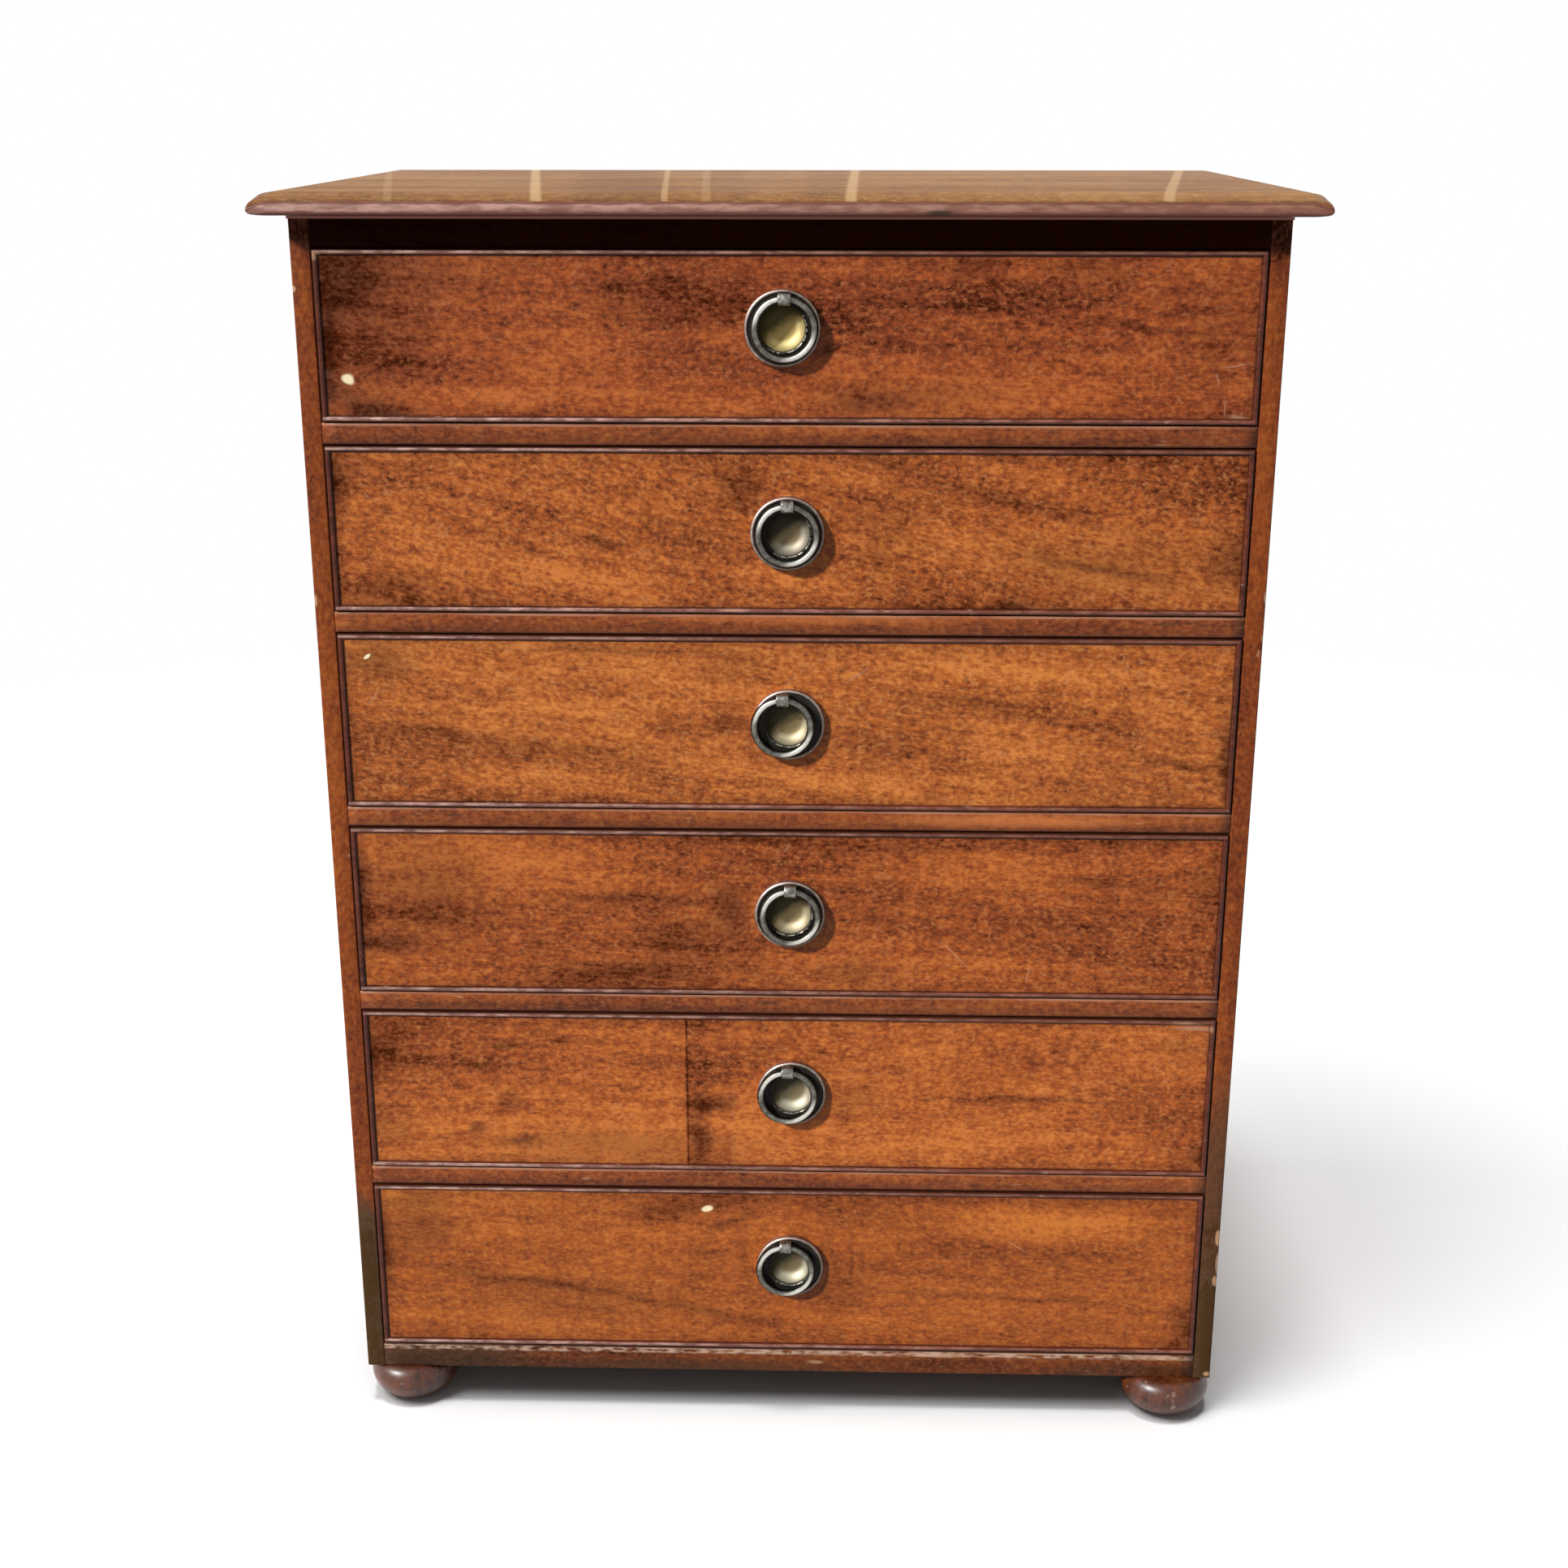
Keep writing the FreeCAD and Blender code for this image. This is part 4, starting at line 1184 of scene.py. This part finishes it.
def ring_finish(number):
    """A painted highlight on the bar's crown at the upper left and lower right, and painted shade, nearly
    black, at the bar's sides.
    """
    low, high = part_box("pull_%d_ring" % number)
    metal, colour, tone = bronze("ring_%d_bronze" % number, ring_tones, 0.38, 0.50)
    bar = (high.y - low.y) / 2 / ring_radius
    flat, toward = round_places(metal, (low + high) / 2, ring_radius)
    reach = metal.vector("LENGTH", metal.vector("MULTIPLY", flat, (1, 0, 1)), out="Value")
    # Painted highlight at the upper left and lower right of the bar; its sides get painted shade.
    crown = metal.band(reach, 1.0, bar * 0.74)
    lit = metal.share(metal.sum("ABSOLUTE", toward), 0.62, 0.95)
    lit = metal.times(lit, metal.band(reach, 1.0, bar * 0.5))
    colour = metal.laid(colour, ring_lit, lit, metal.between(tone, 0.5, 1.1))
    metal.surface(Base_Color=metal.mix(crown, black_patina_and_shade, colour))
    return metal.material


# %% [markdown]
# ### Turning the pulls
# All of a pull is round, so all of it comes off the lathe: the plate and its post about an axis that
# points out of the drawer, and the eye about the ring's own hinge line. A profile is put together from
# short arcs, as a turner would draw it.

# %% Plates
bowl_depth = 7.3 * mm
bowl_wall_slope = 62.0
channel_height = 3.0 * mm
lip_height, lip_width = 3.9 * mm, 1.3 * mm
rim_height, rim_width = 4.2 * mm, 2.4 * mm
plate_gauge = 0.9 * mm
arc_steps = 8
pull_turn_steps = 72


def arc(middle, radius, start, end, steps=arc_steps):
    """Points of a round stretch, as (distance from the axis, height); angles in degrees."""
    points = []
    for step in range(steps + 1):
        angle = math.radians(start + (end - start) * step / steps)
        points.append((middle[0] + radius * math.cos(angle), middle[1] + radius * math.sin(angle)))
    return points


def turn_outwards(points, middle, steps):
    """Turns (distance, height) points about the line that stands out of the drawer at middle."""
    mesh = bmesh.new()
    profile = [middle + Vector((across, -out, 0)) for across, out in points]
    lathe(mesh, profile, middle, (0, 1, 0), steps)
    return mesh


def plate_profile(radius):
    """From the bottom of the bowl, over its lip, through the channel and over the rim to the back."""
    bottom = channel_height - bowl_depth
    under = bottom - plate_gauge * 0.6
    slope = math.radians(bowl_wall_slope)
    turn_radius = bowl_depth / (1 - math.cos(slope)) * 0.72
    floor = pull_bowl_radius - turn_radius * math.sin(slope)
    rise = bowl_depth - turn_radius * (1 - math.cos(slope))
    floor -= rise / math.tan(slope)
    bowl = [(0, bottom)] + arc((floor, bottom + turn_radius), turn_radius, -90, bowl_wall_slope - 90, 12)
    lip = arc((pull_bowl_radius + lip_width / 2, lip_height - lip_width / 2), lip_width / 2, 180, 0)
    lip.append((pull_bowl_radius + lip_width, channel_height))
    rim = arc((radius - rim_width / 2, rim_height - rim_width / 2), rim_width / 2, 180, 0)
    rim = [(radius - rim_width, channel_height)] + rim + [(radius, 0)]
    back = [(pull_bowl_radius + plate_gauge, 0), (floor + turn_radius * 0.6, under), (0, under)]
    return bowl + lip + rim + back


def pull_part(mesh, number, part, finish):
    """Every fixed part of a pull rides its drawer and stands for the same CAD node."""
    name, node = "pull_%d_%s" % (number, part), "pull_%d_plate" % number
    return new_piece(mesh, name, "drawer_%d" % number, "pull_plate_brass", finish, node)


def pull_plate(number):
    low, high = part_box("pull_%d_plate" % number)
    radius = (high.x - low.x) / 2
    middle = Vector(((low.x + high.x) / 2, case_front, high.z - radius))
    mesh = turn_outwards(plate_profile(radius), middle, pull_turn_steps)
    pull_part(mesh, number, "backplate", plate_finish(number, middle))
    return middle


# %% Posts and eyes
eye_radius = 4.3 * mm
eye_bore = 3.05 * mm
eye_half_width = 4.0 * mm
post_radius = 2.0 * mm
collar_radius = 3.1 * mm
front_board = 18.0 * mm
nut_width, nut_thickness = 10.0 * mm, 3.0 * mm
post_past_nut = 1.0 * mm


def eye_middle(number):
    """The hinge line's middle, at the top of the hanging ring; some pulls are turned a little."""
    low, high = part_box("pull_%d_ring" % number)
    return (low + high) / 2 + Vector((0, 0, ring_radius))


def pull_post(number):
    """The post with its collar, and the square nut behind the drawer front."""
    hinge = eye_middle(number)
    middle = Vector((hinge.x, case_front, hinge.z))
    end = -(front_board + nut_thickness + post_past_nut)
    inner = case_front - hinge.y - eye_bore - 0.4 * mm
    collar = channel_height * 0.9
    points = [
        (0, end), (post_radius * 0.8, end), (post_radius, end + 0.4 * mm), (post_radius, collar),
        (collar_radius, collar), (collar_radius, channel_height + 0.5 * mm),
        (post_radius * 1.1, channel_height + 0.9 * mm), (post_radius, inner), (0, inner),
    ]
    mesh = turn_outwards(points, middle, 24)
    half_nut = Vector((nut_width, nut_thickness, nut_width)) / 2
    nut_middle = middle + Vector((0, front_board + nut_thickness / 2, 0))
    nut = box(mesh, nut_middle - half_nut, nut_middle + half_nut)
    nut_edges = [edge for edge in mesh.edges if edge.verts[0] in nut]
    round_over(mesh, nut_edges, 0.5 * mm, 2)
    pull_part(mesh, number, "post", post_bronze)


def pull_eye(number):
    """The eye: a short tube along the hinge line with rounded rims."""
    middle = eye_middle(number)
    rounding = (eye_radius - eye_bore) / 2
    between = (eye_radius + eye_bore) / 2
    half = eye_half_width - rounding
    section = arc((between, half), rounding, 0, 180, 6) + arc((between, -half), rounding, 180, 360, 6)
    section.append(section[0])
    profile = [middle + Vector((along, 0, away)) for away, along in section]
    mesh = bmesh.new()
    lathe(mesh, profile, middle, (1, 0, 0), 32)
    pull_part(mesh, number, "eye", eye_bronze)


pull_middles = {}
for number in drawers:
    pull_middles[number] = pull_plate(number)
    pull_post(number)
    pull_eye(number)
print("pull centres in mm:", {n: [round(c / mm, 1) for c in m] for n, m in pull_middles.items()})

# %% [markdown]
# ### Rings
# A ring is a round bar bent into a circle: a small circle of points turned about the pull's axis. Rings
# wear thin where they hang in the eye, but the eye hides that, so the bar stays even.

# %% Rings
def pull_ring(number):
    node = "pull_%d_ring" % number
    low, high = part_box(node)
    bar = (high.y - low.y) / 2
    section = arc(((high.x - low.x) / 2 - bar, 0), bar, 0, 360, 16)
    mesh = turn_outwards(section, (low + high) / 2, pull_turn_steps)
    name, body = "ring_%d_turned" % number, "ring_%d" % number
    return new_piece(mesh, name, body, "pull_ring_brass", ring_finish(number), node)


for number in drawers:
    piece = pull_ring(number)
print("faces in a ring:", len(piece.data.polygons))

# %% [markdown]
# ## Linings, back and hidden parts
# Inside, the chest is pine. The drawer linings are thin clean boards gone honey brown, and the back
# boards have been against a wall for two centuries and are greyer. Pine's growth rings are wide and
# even, so a wave that is bent by noise draws them better than noise alone.

# %% Pine and iron
pine_dirt = (0.10, 0.07, 0.045, 1)


def pine(name, along, seed, dark, light, rings, dirt):
    wood = Finish(name)
    grain = wood.turned(wood.place, (seed, seed * 0.3, seed * 0.7), grain_turns[along])
    wander = wood.noise(grain, (2.5, 9, 9))
    x, y, z = wood.parts(grain)
    lines = wood.plus(wander, 0.09, wood.sum("ADD", y, z))
    ring = wood.share(wood.sum("FRACT", wood.times(lines, rings)), 0.35, 0.95)
    fibre = wood.noise(grain, (40, 900, 900))
    tone = wood.plus(fibre, 0.5, wood.times(ring, 0.55))
    colour = wood.ramp(tone, ((0.2, light), (0.75, dark)))
    cloud = wood.share(wood.noise(wood.place, (7, 7, 7), 4.0), 0.45, 0.75)
    colour = wood.laid(colour, pine_dirt, cloud, dirt)
    return polish(wood, colour, tone, 0.6, 0.8, 0.3, 0.08 * mm)


lining_side = pine("lining_sides", "Y", 5.2, (0.30, 0.165, 0.070), (0.47, 0.30, 0.150), 95, 0.45)
lining_cross = pine("lining_cross", "X", 9.4, (0.29, 0.160, 0.070), (0.45, 0.28, 0.140), 80, 0.5)
carcase_pine = pine("carcase_pine", "Y", 14.8, (0.25, 0.150, 0.075), (0.40, 0.26, 0.145), 70, 0.6)
cross_pine = pine("cross_pine", "X", 19.1, (0.25, 0.150, 0.075), (0.40, 0.26, 0.145), 70, 0.6)
back_pine = pine("back_pine", "Z", 24.6, (0.19, 0.118, 0.068), (0.31, 0.205, 0.125), 60, 0.7)

iron = Finish("screw_iron")
rust = iron.noise(iron.place, (700, 700, 700), 4.0)
iron_colour = iron.ramp(rust, ((0.35, (0.05, 0.045, 0.04)), (0.6, (0.16, 0.075, 0.035))))
iron.surface(Base_Color=iron_colour, Metallic=0.7, Roughness=iron.between(rust, 0.4, 0.8))

for number in drawers:
    dress(lining_side, "drawer_%d_sides" % number)
    dress(lining_cross, "drawer_%d_back" % number, "drawer_%d_bottom" % number)
dress(carcase_pine, "drawer_runners", "kickers", "drawer_stops")
dress(cross_pine, "top_back_rail", "bottom_board", "glue_blocks")
dress(back_pine, "back_boards")
dress(iron.material, "top_screws")
print("materials made:", len(bpy.data.materials))

# %% [markdown]
# ## Floor and background
# The photograph is cut out on white, with a soft shadow. A white room would light the chest from all
# sides and wash the wood out. So the world and the floor look white only to the camera and to
# reflections, and to every other ray they are a dim grey.

# %% World and floor
dim_fill = 0.16
floor_bounce = 0.25
floor_white = 0.93
floor_half = 14


def seen_directly(nodes):
    """1 for rays of the camera and of reflections, 0 for the light that bounces about."""
    path = nodes.node("LightPath").outputs
    direct = nodes.sum("MAXIMUM", path["Is Camera Ray"], path["Is Glossy Ray"])
    return nodes.sum("MAXIMUM", direct, path["Is Transmission Ray"])


world = bpy.data.worlds.new("studio")
world.use_nodes = True
bpy.context.scene.world = world
sky = Nodes(world.node_tree)
strength = sky.between(seen_directly(sky), dim_fill, 1.0)
background = sky.node("Background", {"Color": (1, 1, 1, 1), "Strength": strength})
sky.node("OutputWorld", {"Surface": background.outputs[0]})

floor_finish = Finish("floor_white")
floor_finish.tree.nodes.remove(floor_finish.shader)
direct = seen_directly(floor_finish)
floor_colour = floor_finish.mix(direct, (floor_bounce,) * 3 + (1,), (floor_white,) * 3 + (1,))
near_floor = floor_finish.node("BsdfDiffuse", {"Color": floor_colour}).outputs[0]
glow = floor_finish.between(direct, dim_fill, 1.0)
far_floor = floor_finish.node("Emission", {"Strength": glow}).outputs[0]
away = floor_finish.vector("LENGTH", floor_finish.place, out="Value")
blend = {0: floor_finish.share(away, 1.1, 2.2), 1: near_floor, 2: far_floor}
blend = floor_finish.node("MixShader", blend).outputs[0]
floor_finish.put(floor_finish.output.inputs[0], blend)

floor_mesh = bmesh.new()
bmesh.ops.create_grid(floor_mesh, x_segments=1, y_segments=1, size=floor_half)
floor_data = bpy.data.meshes.new("floor")
floor_mesh.to_mesh(floor_data)
floor_mesh.free()
floor_data.materials.append(floor_finish.material)
floor = bpy.data.objects.new("floor", floor_data)
bpy.context.scene.collection.objects.link(floor)
print("floor in m:", 2 * floor_half)

# %% [markdown]
# ## Lamps
# The photograph is lit by one strong lamp from the upper left. One lamp lights the chest, and a weaker
# one fills its back and its right side. The shadow in the photograph falls another way than that lamp
# would throw it, so two lamps of their own light the floor and nothing else.

# %% Lamps
def sun(name, way, strength, spread):
    """A far lamp: way is where its light goes, spread its width as seen from here, in degrees."""
    data = bpy.data.lights.new(name, "SUN")
    data.energy = strength
    data.angle = math.radians(spread)
    lamp = bpy.data.objects.new(name, data)
    lamp.rotation_euler = Vector(way).to_track_quat("-Z", "Y").to_euler()
    bpy.context.scene.collection.objects.link(lamp)
    return lamp


def light_link(lamp, name, state):
    """Lets a lamp light the floor alone, or everything but the floor."""
    group = bpy.data.collections.new(name)
    group.objects.link(floor)
    group.collection_objects[0].light_linking.link_state = state
    lamp.light_linking.receiver_collection = group


key_lamp = sun("key_lamp", (1.15, 1.0, -1.0), 4.6, 4)
fill_lamp = sun("fill_lamp", (-0.55, -0.75, -0.60), 2.2, 25)
floor_lamp = sun("floor_lamp", (0.49, 0.256, -1.0), 1.72, 33)
front_lamp = sun("front_lamp", (0.024, 0.044, -1.0), 2.06, 14)
light_link(key_lamp, "not_the_floor", "EXCLUDE")
light_link(fill_lamp, "nor_here", "EXCLUDE")
light_link(floor_lamp, "the_floor", "INCLUDE")
light_link(front_lamp, "the_floor_too", "INCLUDE")
print("lamps:", [lamp.name for lamp in (key_lamp, fill_lamp, floor_lamp, front_lamp)])
